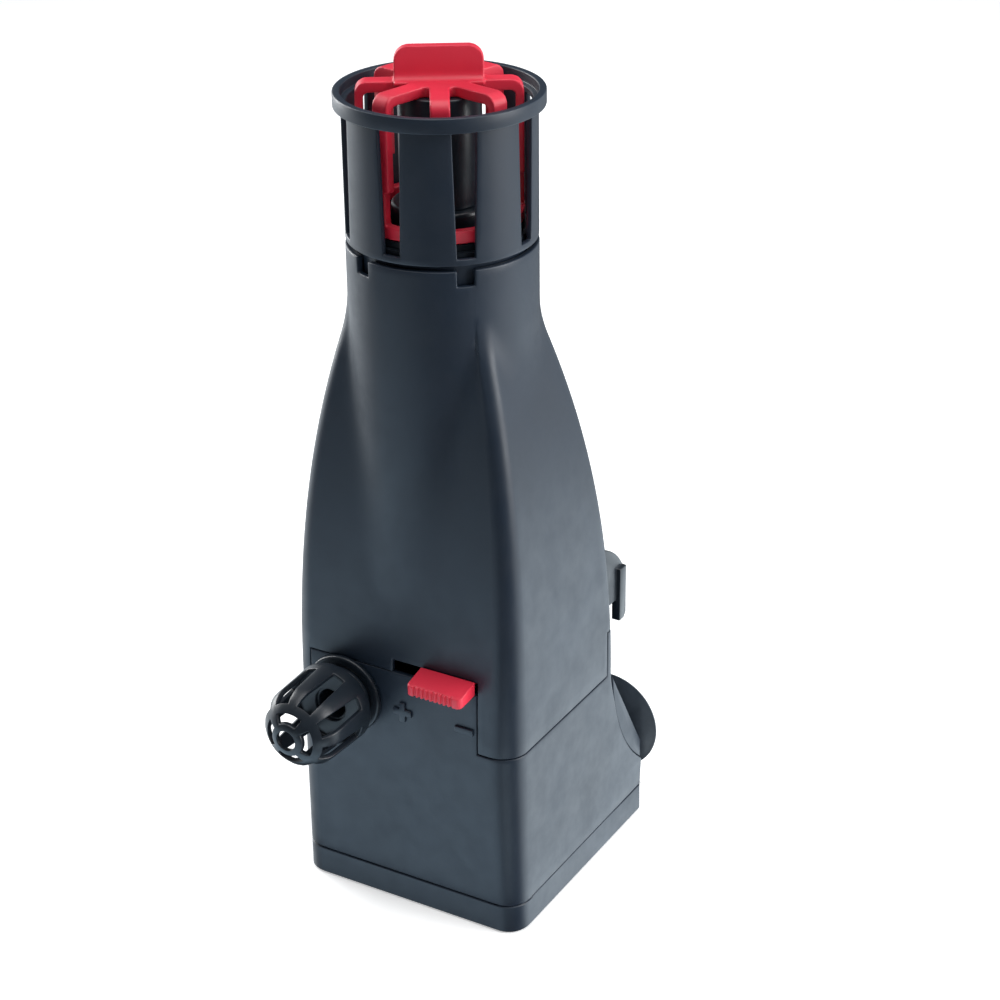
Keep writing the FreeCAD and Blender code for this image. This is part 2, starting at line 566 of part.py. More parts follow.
def outlet_socket():
    ring = rod_y(OUTLET_X, OUTLET_Z, SOCKET_FRONT, SOCKET_BACK, SOCKET_R)
    flange = rod_y(OUTLET_X, OUTLET_Z, SOCKET_FRONT, -FRONT_DEPTH, SOCKET_FLANGE_R)
    edges = [e for e in flange.Edges if abs(e.BoundBox.YMax - SOCKET_FRONT) < 0.01]
    flange = flange.makeFillet(0.8, edges)
    return ring.fuse(flange).cut(rod_y(OUTLET_X, OUTLET_Z, -40, -20, SOCKET_BORE_R))


def swivel_ring():
    ring = rod_y(OUTLET_X, OUTLET_Z, RING_FRONT, RING_BACK, RING_RUN_R)
    seat = Part.makeSphere(SEAT_R, Vector(OUTLET_X, PIVOT_Y, OUTLET_Z))
    return ring.cut(seat).cut(rod_y(OUTLET_X, OUTLET_Z, -31, -20, 6.2))


def dome_curve(radius, length, end_r):
    """The elliptical nose from its widest place to a small radius, as a spline."""
    last = math.sqrt(1 - (end_r / radius) ** 2)
    angles = [math.asin(last) * i / 8 for i in range(9)]
    points = [Vector(radius * math.cos(a), DOME_Y - length * math.sin(a), 0) for a in angles]
    curve = Part.BSplineCurve()
    curve.interpolate(points)
    return curve.toShape(), points[-1]


def nozzle_shell():
    outer, tip = dome_curve(DOME_R, DOME_LENGTH, TIP_HOLE_R)
    inner, tip_in = dome_curve(DOME_R - NOZZLE_WALL, DOME_LENGTH - NOZZLE_WALL, TIP_HOLE_R)
    wall = NOZZLE_WALL
    edges = [line(Vector(SKIRT_R, SKIRT_Y, 0), Vector(DOME_R, DOME_Y, 0)), outer, line(tip, tip_in), inner]
    edges += path_ry([(DOME_R - wall, DOME_Y), (SKIRT_R - wall, SKIRT_Y - 2.2), (BALL_BORE_R, SKIRT_Y - 2.2),
                      (BALL_BORE_R, SKIRT_Y), (SKIRT_R, SKIRT_Y)])
    return around_outlet(Part.sortEdges(edges)[0])


def about_outlet(shape, degrees):
    copy = shape.copy()
    copy.rotate(Vector(OUTLET_X, 0, OUTLET_Z), Vector(0, 1, 0), degrees)
    return copy


def nozzle_window():
    """A side window between two ribs, wider towards the nose."""
    back, front = WINDOW_BACK_HALF, WINDOW_FRONT_HALF
    root = OUTLET_Z + 4
    points = [Vector(OUTLET_X - back, WINDOW_Y0, root), Vector(OUTLET_X + back, WINDOW_Y0, root),
              Vector(OUTLET_X + front, WINDOW_Y1, root), Vector(OUTLET_X - front, WINDOW_Y1, root)]
    return Part.Face(Part.makePolygon(points + points[:1])).extrude(Vector(0, 0, 12))


def nose_window():
    """An opening in the nose, beside the centre hole."""
    whole = Part.makeCylinder(NOSE_R1, 16, Vector(OUTLET_X, -66, OUTLET_Z), Vector(0, 1, 0), 2 * NOSE_HALF)
    piece = whole.cut(rod_y(OUTLET_X, OUTLET_Z, -67, -49, NOSE_R0))
    return about_outlet(piece, -NOSE_HALF)


def outlet_nozzle():
    ball = Part.makeSphere(BALL_R, Vector(OUTLET_X, PIVOT_Y, OUTLET_Z))
    ball = ball.common(rod_y(OUTLET_X, OUTLET_Z, PIVOT_Y - 9, PIVOT_Y + 4.4, 12))
    neck = rod_y(OUTLET_X, OUTLET_Z, SKIRT_Y - 1, PIVOT_Y, BALL_NECK_R)
    solid = fuse([nozzle_shell(), ball, neck])
    solid = solid.cut(rod_y(OUTLET_X, OUTLET_Z, SKIRT_Y - 3, -20, BALL_BORE_R))
    step = 360.0 / NOZZLE_SLOTS
    for i in range(NOZZLE_SLOTS):
        solid = solid.cut(about_outlet(nozzle_window(), (i + 0.5) * step))
    for i in range(4):
        solid = solid.cut(about_outlet(nose_window(), i * 90))
    return solid


# ---- flow control ------------------------------------------------------------------------

def flow_slider():
    """The grip with finger ribs and the stem that passes through the slit."""
    panel = -front_depth(SLIDER_Z0) - 0.2
    side = path_yz([(panel, SLIDER_Z0), (panel, GRIP_TOP_BACK), (SLIDER_FRONT, GRIP_TOP_FRONT),
                    (SLIDER_FRONT, GRIP_LOW), (panel, SLIDER_Z0)])
    grip = prism_x(side, SLIDER_LEFT, SLIDER_RIGHT)
    corners = [e for e in grip.Edges if e.BoundBox.YMax < SLIDER_FRONT + 0.01 and e.BoundBox.ZLength > 1]
    grip = grip.makeFillet(1.4, corners)
    pitch = (SLIDER_RIGHT - SLIDER_LEFT) / 10
    for i in range(1, 10):
        x = SLIDER_LEFT + i * pitch
        y0, y1 = SLIDER_FRONT - 1, SLIDER_FRONT + 0.5
        grip = grip.cut(block(x - 0.35, x + 0.35, y0, y1, GRIP_LOW - 1, GRIP_TOP_BACK))
    stem = block(9.5, 23.5, panel - 1, -23.0, SHUTTER_Z1, SLIDER_Z1)
    return fuse([grip, stem])


def shutter_plate():
    """The sliding plate over the pump's intake eye; its hole meets the eye at the end of the travel."""
    eye_x = PUMP_X + SLIDER_TRAVEL
    plate = block(PUMP_X - 9, eye_x + 10, PUMP_Y - 10.3, PUMP_Y + 10.3, SHUTTER_Z0, SHUTTER_Z1)
    tongue = block(12, 21, -26.5, PUMP_Y - 10, SHUTTER_Z0, SHUTTER_Z1)
    return fuse([plate, tongue]).cut(rod(eye_x, PUMP_Y, SHUTTER_Z0 - 1, SHUTTER_Z1 + 1, EYE_R + 0.2))


# ---- pump --------------------------------------------------------------------------------

def ear_centres():
    return [(PUMP_X + EAR_AT_R * math.cos(math.radians(a)), PUMP_Y + EAR_AT_R * math.sin(math.radians(a)))
            for a in EAR_ANGLES]


def with_ears(solid, z0, z1):
    ears = [rod(x, y, z0, z1, EAR_R) for x, y in ear_centres()]
    return fuse([solid] + ears)


def impeller_chamber():
    cup = rod(PUMP_X, PUMP_Y, CHAMBER_Z0, CHAMBER_Z1, CHAMBER_R)
    cup = with_ears(cup, CHAMBER_Z1 - EAR_HEIGHT, CHAMBER_Z1)
    elbow_x = OUTLET_X
    duct = fuse([cup, rod_x(DUCT_Y, OUTLET_Z, elbow_x, PUMP_X, DUCT_R),
                 Part.makeSphere(DUCT_R, Vector(elbow_x, DUCT_Y, OUTLET_Z)),
                 rod_y(elbow_x, OUTLET_Z, SOCKET_BACK + 0.1, DUCT_Y, DUCT_R)])
    duct = duct.cut(rod_x(DUCT_Y, OUTLET_Z, elbow_x, PUMP_X, DUCT_IN_R))
    duct = duct.cut(Part.makeSphere(DUCT_IN_R, Vector(elbow_x, DUCT_Y, OUTLET_Z)))
    duct = duct.cut(rod_y(elbow_x, OUTLET_Z, -30, DUCT_Y, DUCT_IN_R))
    duct = duct.cut(rod(PUMP_X, PUMP_Y, CHAMBER_Z0 + 2, CHAMBER_Z1 + 1, CHAMBER_IN_R))
    duct = duct.cut(rod(PUMP_X, PUMP_Y, CHAMBER_Z0 - 1, CHAMBER_Z1, WELL_R))
    for x, y in ear_centres():
        duct = duct.cut(rod(x, y, CHAMBER_Z1 - 7, CHAMBER_Z1 + 1, EAR_PILOT_R))
    return duct


def intake_cover():
    disc = with_ears(rod(PUMP_X, PUMP_Y, CHAMBER_Z1, COVER_TOP, CHAMBER_R), CHAMBER_Z1, COVER_TOP)
    disc = disc.cut(rod(PUMP_X, PUMP_Y, CHAMBER_Z1 - 1, COVER_TOP + 1, EYE_R))
    hub = rod(PUMP_X, PUMP_Y, CHAMBER_Z1, COVER_TOP, SPIDER_HUB_R)
    half = SPIDER_ARM / 2
    arm = block(PUMP_X, PUMP_X + EYE_R + 1, PUMP_Y - half, PUMP_Y + half, CHAMBER_Z1, COVER_TOP)
    arms = []
    for i in range(3):
        copy = arm.copy()
        copy.rotate(Vector(PUMP_X, PUMP_Y, 0), Vector(0, 0, 1), i * 120)
        arms.append(copy)
    guide = block(PUMP_X - 11, PUMP_X + 9, PUMP_Y + 10.7, PUMP_Y + 11.9, COVER_TOP - 0.5, SHUTTER_Z1)
    cover = fuse([disc, hub, guide] + arms)
    cover = cover.cut(rod(PUMP_X, PUMP_Y, CHAMBER_Z1 - 1, COVER_TOP + 1, BUSH_EYE_R))
    for x, y in ear_centres():
        cover = cover.cut(rod(x, y, CHAMBER_Z1 - 1, COVER_TOP + 3, EAR_CLEAR_R))
    return cover


def cover_screws():
    screws = []
    for x, y in ear_centres():
        head = rod(x, y, COVER_TOP, COVER_TOP + COVER_HEAD, COVER_HEAD_R)
        slot = block(x - 1.5, x + 1.5, y - 0.3, y + 0.3, COVER_TOP + COVER_HEAD / 2, COVER_TOP + 2)
        screws.append(head.cut(slot).fuse(rod(x, y, CHAMBER_Z1 - 6, COVER_TOP, COVER_SCREW_R)))
    return Part.makeCompound(screws)


def yoke_solid(grow):
    x, y, reach, half = PUMP_X, PUMP_Y, CORE_REACH + grow, CORE_HALF_DEPTH + grow
    return block(x - reach, x + reach, y - half, y + half, YOKE_Z0 - grow, YOKE_Z1 + grow)


def core_solid(grow):
    y, half = PUMP_Y, CORE_HALF_DEPTH + grow
    legs = [block(x - grow, x + CORE_LEG + grow, y - half, y + half, YOKE_Z1 - grow, CORE_TOP + grow)
            for x in (PUMP_X - CORE_REACH, PUMP_X + CORE_REACH - CORE_LEG)]
    return fuse([yoke_solid(grow)] + legs)


def stator_parts():
    """The laminated core: a yoke below the rotor well and two pole legs beside it, and its winding."""
    x, y, r, g = PUMP_X, PUMP_Y, COIL_HALF, POT_GAP
    coil = block(x - r, x + r, y - r, y + r, COIL_Z0, COIL_Z1)
    return core_solid(0), coil.cut(yoke_solid(g))


def motor_block():
    x, y = PUMP_X, PUMP_Y
    solid = block(x - MOTOR_HALF_X, x + MOTOR_HALF_X, y - MOTOR_HALF_Y, y + MOTOR_HALF_Y, MOTOR_Z0, MOTOR_Z1)
    upright = [e for e in solid.Edges if e.BoundBox.ZLength > 10]
    solid = solid.makeFillet(5.0, upright)
    solid = solid.cut(rod(x, y, WELL_Z0, MOTOR_Z1 + 1, WELL_R)).cut(rod(x, y, SHAFT_Z0, WELL_Z0 + 1, BUSH_R))
    r, g = COIL_HALF + POT_GAP, POT_GAP
    coil_void = block(x - r, x + r, y - r, y + r, COIL_Z0 - g, COIL_Z1 + g)
    return solid.cut(core_solid(g).fuse(coil_void))


def impeller():
    x, y = PUMP_X, PUMP_Y
    disc = rod(x, y, VANE_Z0 - IMPELLER_DISC, VANE_Z0, IMPELLER_R)
    hub = rod(x, y, MAGNET_Z0, HUB_TOP, MAGNET_BORE_R - 0.05)
    collar = rod(x, y, MAGNET_Z1 + 0.1, VANE_Z0, COLLAR_OUT_R)
    cx, cy, r_in = x + VANE_CENTRE_X, y + VANE_CENTRE_Y, VANE_CURVE_R - VANE_THICK
    vanes = []
    for i in range(VANES):
        blade = tube(cx, cy, VANE_Z0 - 0.5, VANE_Z1, VANE_CURVE_R, r_in)
        blade = blade.common(rod(x, y, VANE_Z0 - 1, VANE_Z1 + 1, IMPELLER_R))
        blade = blade.common(block(x, x + 20, y - 20, y + 2.2, VANE_Z0 - 1, VANE_Z1 + 1))
        blade.rotate(Vector(x, y, 0), Vector(0, 0, 1), i * 360.0 / VANES)
        vanes.append(blade)
    return fuse([disc, hub, collar] + vanes).cut(rod(x, y, 0, 90, SHAFT_R + SHAFT_PLAY))


def thrust_washer():
    z0 = HUB_TOP + 0.05
    return tube(PUMP_X, PUMP_Y, z0, z0 + WASHER_THICK, WASHER_R, SHAFT_R + SHAFT_PLAY)


# ---- every piece, under its own name -----------------------------------------------------

def pieces():
    x, y = PUMP_X, PUMP_Y
    core, coil = stator_parts()
    return {
        "base_plate": base_plate(),
        "lower_housing": lower_housing(),
        "cup_carrier": cup_carrier(),
        "suction_cup_left": suction_cup(-CUP_X),
        "suction_cup_right": suction_cup(CUP_X),
        "bracket_left": bracket(-BRACKET_X),
        "bracket_right": bracket(BRACKET_X),
        "base_screws": base_screws(),
        "cable_gland": cable_gland(),
        "upper_housing": upper_housing(),
        "chamber_seal": chamber_seal(),
        "sponge_grid": sponge_grid(),
        "filter_sponge": filter_sponge(),
        "inlet_cage": inlet_cage(),
        "weir_sleeve": weir_sleeve(),
        "float_frame": float_frame(),
        "float_body": float_body(),
        "float_base": float_base(),
        "outlet_socket": outlet_socket(),
        "swivel_ring": swivel_ring(),
        "outlet_nozzle": outlet_nozzle(),
        "flow_slider": flow_slider(),
        "shutter_plate": shutter_plate(),
        "impeller_chamber": impeller_chamber(),
        "intake_cover": intake_cover(),
        "cover_screws": cover_screws(),
        "motor_block": motor_block(),
        "stator_core": core,
        "stator_coil": coil,
        "rotor_magnet": tube(x, y, MAGNET_Z0, MAGNET_Z1, MAGNET_R, MAGNET_BORE_R),
        "impeller": impeller(),
        "thrust_washer": thrust_washer(),
        "rotor_shaft": rod(x, y, SHAFT_Z0 + 0.2, SHAFT_Z1, SHAFT_R),
        "lower_bush": tube(x, y, SHAFT_Z0, WELL_Z0, BUSH_R - 0.02, SHAFT_R + 0.01),
        "upper_bush": tube(x, y, CHAMBER_Z1, COVER_TOP - 0.2, BUSH_EYE_R - 0.02, SHAFT_R + 0.01),
    }


def main():
    os.makedirs("parts", exist_ok=True)
    for name, shape in pieces().items():
        solids = shape.Solids
        whole = solids[0] if len(solids) == 1 else Part.makeCompound(solids)
        print(f"{name:18s} solids {len(solids)} volume {whole.Volume:9.1f} valid {whole.isValid()}")
        whole.exportStep(os.path.join("parts", name + ".step"))


main()
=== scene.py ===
import json
import math

import bmesh
import bpy
from mathutils import Matrix, Vector, noise


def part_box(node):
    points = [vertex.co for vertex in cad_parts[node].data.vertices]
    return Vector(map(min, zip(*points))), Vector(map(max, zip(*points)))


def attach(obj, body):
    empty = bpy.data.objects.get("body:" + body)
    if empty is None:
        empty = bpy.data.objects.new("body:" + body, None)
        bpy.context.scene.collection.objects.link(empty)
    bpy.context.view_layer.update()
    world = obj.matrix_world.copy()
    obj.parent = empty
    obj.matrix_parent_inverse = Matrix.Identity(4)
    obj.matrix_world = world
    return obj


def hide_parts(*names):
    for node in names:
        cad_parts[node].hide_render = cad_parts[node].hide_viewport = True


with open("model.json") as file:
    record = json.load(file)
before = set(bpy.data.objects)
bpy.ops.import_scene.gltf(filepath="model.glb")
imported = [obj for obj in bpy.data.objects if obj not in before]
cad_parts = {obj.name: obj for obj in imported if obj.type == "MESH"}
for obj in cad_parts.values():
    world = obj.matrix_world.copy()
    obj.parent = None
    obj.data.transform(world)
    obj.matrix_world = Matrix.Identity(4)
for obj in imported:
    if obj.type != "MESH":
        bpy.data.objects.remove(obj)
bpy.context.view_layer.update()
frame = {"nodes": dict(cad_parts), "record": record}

# An internal aquarium power filter: the visible pieces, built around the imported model.
# The meshes are drawn in millimetres, +Z up, in the model's own frame, and brought to metres at the end.
# Azimuths are counted in degrees from -Y, the front, towards +X.

MM = 0.001


def cad(node):
    """A CAD node's lowest and highest corner, in millimetres."""
    low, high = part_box(node)
    return low / MM, high / MM


# ---- sizes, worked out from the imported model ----

BASE_HIGH = cad("base_plate")[1]
UPPER_LOW, UPPER_HIGH = cad("upper_housing")
CARRIER_LOW, CARRIER_HIGH = cad("cup_carrier")
CAGE_LOW, CAGE_HIGH = cad("inlet_cage")
FRAME_LOW, FRAME_HIGH = cad("float_frame")
BODY_LOW, BODY_HIGH = cad("float_body")
FOOT_LOW, FOOT_HIGH = cad("float_base")
SOCKET_LOW, SOCKET_HIGH = cad("outlet_socket")
SLIDER_LOW, SLIDER_HIGH = cad("flow_slider")

SEAM, SEAM_DEPTH = 0.3, 0.7
BASE_TOP = BASE_HIGH.z
PARTING_Z = UPPER_LOW.z - SEAM
NECK_TOP = UPPER_HIGH.z
NECK_R = 26.95
WALL = 2.0
FOOT_HALF_WIDTH, HALF_WIDTH = BASE_HIGH.x, UPPER_HIGH.x               # at the ground and at the parting
FOOT_FRONT, FRONT_DEPTH, BACK_DEPTH = 28.0, -UPPER_LOW.y, 33.2
FOOT_Y, FOOT_TOP = BASE_HIGH.y, 18.8
FLARE_Y, FLARE_Z = 38.6, 37.0    # a point half way up the scoop above the foot
FLARE_CORNER_R = 0.9
FRONT_ZONE_Y = -20.0             # the front panel and its slit lie in front of this
TAPER_HEIGHT = 119.0
WIDTH_DROP, FRONT_DROP, BACK_DROP = (13.6, 2.6), (11.4, 1.8), (16.3, 1.9)     # how far in, and its power
NECK_START, SHOULDER_TOP = 88.0, 197.0
CREASE, CREASE_LOW, CREASE_HIGH = 2.4, 86.0, 122.0     # the crease between chamber and neck softens upwards
SETTLE_LOW = 150.0               # from here up the columns draw in to the notches' edges
FRONT_CORNER_R, BACK_CORNER_R, FOOT_CORNER_R = 8.0, 3.0, 2.0
FRONT_SHARPENING, BACK_WIDENING = 4.0, 2.0
PANEL_LEFT, PANEL_RIGHT, PANEL_TOP = -31.5, 25.9, 80.7
SLIT_LEFT, SLIT_TOP = -2.7, 84.8
TAB_Y, TAB_TOP = 28.8, 76.5
PANEL_GAP = 0.15
STRAIGHT_TOP = SLIT_TOP          # below this height the columns of the casing's mesh stand upright
COLUMN_LEFT, COLUMNS_RIGHT = -29.6, [28.0, 29.6]
SIDE_START = -20.4
TRIM_ROWS = [66.0, 71.0]         # extra rows of the mesh beside the front panel and the rear tab
NOTCHES, NOTCH_HALF, NOTCH_DEPTH = (-23.0, 45.0, 157.0, 225.0), 5.4, 4.5


# ---- mesh helpers ----

def lerp(a, b, t):
    return a + (b - a) * t


def smoothstep(x, a, b):
    t = min(1.0, max(0.0, (x - a) / (b - a)))
    return t * t * (3 - 2 * t)


def smooth_max(a, b, k):
    """The larger of two lengths, with a soft crease about k wide between them."""
    if k < 1e-6:
        return max(a, b)
    h = max(k - abs(a - b), 0.0) / k
    return max(a, b) + h * h * k / 4


def steps(a, b, n):
    return [a + (b - a) * i / n for i in range(n + 1)]


def polar(r, degrees, z):
    a = math.radians(degrees)
    return Vector((r * math.sin(a), -r * math.cos(a), z))


def new_object(name, bm):
    """A mesh object in metres, from a bmesh drawn in millimetres."""
    bmesh.ops.remove_doubles(bm, verts=bm.verts, dist=1e-4)
    bmesh.ops.recalc_face_normals(bm, faces=bm.faces)
    mesh = bpy.data.meshes.new(name)
    bm.to_mesh(mesh)
    bm.free()
    mesh.transform(Matrix.Scale(MM, 4))
    obj = bpy.data.objects.new(name, mesh)
    bpy.context.scene.collection.objects.link(obj)
    return obj


def shade(obj, degrees=38):
    """Smooth shading, split at the sharp edges."""
    mesh = obj.data
    mesh.shade_smooth()
    mesh.set_sharp_from_angle(angle=math.radians(degrees))
    return obj


def apply_modifiers(obj):
    graph = bpy.context.evaluated_depsgraph_get()
    mesh = bpy.data.meshes.new_from_object(obj.evaluated_get(graph))
    obj.modifiers.clear()
    obj.data = mesh
    return obj


def rounded(obj, width, segments=3, degrees=35):
    """Rounds the edges that turn by more than an angle."""
    bevel = obj.modifiers.new("edges", "BEVEL")
    bevel.width = width * MM
    bevel.segments = segments
    bevel.limit_method = "ANGLE"
    bevel.angle_limit = math.radians(degrees)
    bevel.use_clamp_overlap = False
    bevel.harden_normals = False
    apply_modifiers(obj)
    return shade(obj)


def thickened(obj, wall, even=True):
    """Gives a wall its thickness, inwards; an even one keeps its thickness round sharp corners."""
    solid = obj.modifiers.new("wall", "SOLIDIFY")
    solid.thickness = wall * MM
    solid.offset = -1
    solid.use_even_offset = even
    return apply_modifiers(obj)


def cut(obj, *tools):
    """Takes the tools' shapes out of an object, and removes them."""
    for tool in tools:
        boolean = obj.modifiers.new("cut", "BOOLEAN")
        boolean.operation = "DIFFERENCE"
        boolean.solver = "EXACT"
        boolean.object = tool
        apply_modifiers(obj)
        bpy.data.objects.remove(tool)
    return obj


def joined(name, objects):
    """Several objects as one."""
    bm = bmesh.new()
    for obj in objects:
        bm.from_mesh(obj.data)
        bpy.data.objects.remove(obj)
    mesh = bpy.data.meshes.new(name)
    bm.to_mesh(mesh)
    bm.free()
    obj = bpy.data.objects.new(name, mesh)
    bpy.context.scene.collection.objects.link(obj)
    return obj


def evenly(points, step, count=160):
    """A closed line of points as a fixed number of evenly spaced ones, fewer when the step is coarse."""
    count = max(24, round(count / step))
    sides = [math.dist(p, q) for p, q in zip(points, points[1:] + points[:1])]
    total, out, i, walked = sum(sides), [], 0, 0.0
    for k in range(count):
        target = total * k / count
        while walked + sides[i] < target:
            walked += sides[i]
            i += 1
        p, q = Vector(points[i]), Vector(points[(i + 1) % len(points)])
        out.append(tuple(p.lerp(q, (target - walked) / sides[i])))
    return out


def prism(name, outline, axis, a, b):
    """An outline of two-number points, drawn across an axis and carried from a to b along it."""
    bm = bmesh.new()

    def place(u, v, w):
        return {"x": (w, u, v), "y": (u, w, v), "z": (u, v, w)}[axis]

    ends = [[bm.verts.new(place(u, v, w)) for u, v in outline] for w in (a, b)]
    for i in range(len(outline)):
        j = (i + 1) % len(outline)
        bm.faces.new((ends[0][i], ends[0][j], ends[1][j], ends[1][i]))
    bm.faces.new(ends[0])
    bm.faces.new(list(reversed(ends[1])))
    return new_object(name, bm)


def box(name, low, high):
    (x0, y0, z0), (x1, y1, z1) = low, high
    return prism(name, [(x0, y0), (x1, y0), (x1, y1), (x0, y1)], "z", z0, z1)


def bow(centre, r, a, b, n):
    """Points on an arc in a plane, from angle a to angle b in degrees."""
    return [(centre[0] + r * math.cos(math.radians(t)), centre[1] + r * math.sin(math.radians(t)))
            for t in steps(a, b, n)]


def soften(profile, radius, n=3):
    """Rounds the corners of a closed profile of points; a radius of 0 or a smooth place is left as it is."""
    out = []
    count = len(profile)
    for i in range(count):
        p, a, b = (Vector(profile[k % count]) for k in (i, i - 1, i + 1))
        u, v = a - p, b - p
        turn = math.pi - u.angle(v) if u.length > 1e-6 and v.length > 1e-6 else 0
        reach = min(radius * math.tan(turn / 2), 0.45 * u.length, 0.45 * v.length)
        if turn < 0.35 or reach < 1e-3:
            out.append(tuple(p))
            continue
        start, end = p + u.normalized() * reach, p + v.normalized() * reach
        for t in steps(0, 1, n):
            out.append(tuple(start.lerp(p, t).lerp(p.lerp(end, t), t)))
    return out


def lathe(name, profile, segments=96, centre=(0.0, 0.0, 0.0), axis="z"):
    """A closed profile of (radius, height) points, turned about an axis through a centre."""
    bm = bmesh.new()
    cx, cy, cz = centre
    rings = []
    for r, h in profile:
        ring = []
        for i in range(segments if r > 1e-6 else 1):
            a = 2 * math.pi * i / segments
            u, v = r * math.cos(a), r * math.sin(a)
            place = (cx + u, cy + v, cz + h) if axis == "z" else (cx + u, cy + h, cz + v)
            ring.append(bm.verts.new(place))
        rings.append(ring)
    for i in range(len(rings)):
        a, b = rings[i], rings[(i + 1) % len(rings)]
        if len(a) == 1 and len(b) == 1:
            continue
        for k in range(segments):
            j = (k + 1) % segments
            corners = [a[k % len(a)], a[j % len(a)], b[j % len(b)], b[k % len(b)]]
            bm.faces.new(list(dict.fromkeys(corners)))
    return shade(new_object(name, bm))


def everywhere(row, column):
    return True


def wall_grid(name, rows, keep=everywhere):
    """A wall of quads through rows of points that close on themselves, where keep(row, column) allows."""
    bm = bmesh.new()
    verts = [[bm.verts.new(p) for p in row] for row in rows]
    count = len(rows[0])
    for i in range(len(rows) - 1):
        for k in range(count):
            j = (k + 1) % count
            if keep(i, k):
                bm.faces.new((verts[i][k], verts[i][j], verts[i + 1][j], verts[i + 1][k]))
    loose = [v for v in bm.verts if not v.link_faces]
    bmesh.ops.delete(bm, geom=loose, context="VERTS")
    return new_object(name, bm)


def closed_grid(name, rows, shift=None):
    """A wall through rows of points with its two ends filled in; shift(vertex) says how each vertex moves."""
    obj = wall_grid(name, rows)
    bm = bmesh.new()
    bm.from_mesh(obj.data)
    bmesh.ops.holes_fill(bm, edges=[e for e in bm.edges if e.is_boundary], sides=0)
    bmesh.ops.recalc_face_normals(bm, faces=bm.faces)
    if shift:
        for v in bm.verts:
            v.co += shift(v)
    bm.to_mesh(obj.data)
    bm.free()
    return obj


def drill(r, low, high, segments, centre, axis="y"):
    """A cylinder to cut with."""
    return lathe("drill", [(0, low), (r, low), (r, high), (0, high)], segments, centre, axis)


def pierced_lathe(name, rows, window):
    """A closed profile turned with its own angles in each row, with windows right through the wall.

    rows is a list of (ring of points, partner row or None). Where window(row, column) is true the quad
    above that row is left out, and the window's sides join the row to its partner on the wall's other face.
    """
    bm = bmesh.new()
    verts = [[bm.verts.new(p) for p in ring] for ring, _ in rows]
    total, count = len(rows), len(rows[0][0])
    for i in range(total):
        n = (i + 1) % total
        for k in range(count):
            j = (k + 1) % count
            if not window(i, k):
                bm.faces.new((verts[i][k], verts[i][j], verts[n][j], verts[n][k]))
    for i in range(total):
        n = (i + 1) % total
        partner, above = rows[i][1], rows[n][1]
        if partner is None or above is None:
            continue
        for k in range(count):
            if not window(i, k):
                continue
            j = (k + 1) % count
            if not window(i, k - 1):
                bm.faces.new((verts[i][k], verts[n][k], verts[above][k], verts[partner][k]))
            if not window(i, j):
                bm.faces.new((verts[i][j], verts[n][j], verts[above][j], verts[partner][j]))
            if not window(i - 1, k):
                bm.faces.new((verts[i][k], verts[i][j], verts[partner][j], verts[partner][k]))
            if not window(n, k):
                bm.faces.new((verts[n][k], verts[n][j], verts[above][j], verts[above][k]))
    return new_object(name, bm)


def cad_copy(node, bevel):
    """A piece with a CAD node's shape and softened edges."""
    bm = bmesh.new()
    bm.from_mesh(frame["nodes"][node].data)
    bmesh.ops.transform(bm, matrix=Matrix.Scale(1 / MM, 4), verts=bm.verts)
    bmesh.ops.remove_doubles(bm, verts=bm.verts, dist=0.002)
    bmesh.ops.dissolve_limit(bm, angle_limit=math.radians(1), verts=bm.verts, edges=bm.edges)
    return rounded(new_object(node + "_moulded", bm), bevel, 2)


# ---- materials ----

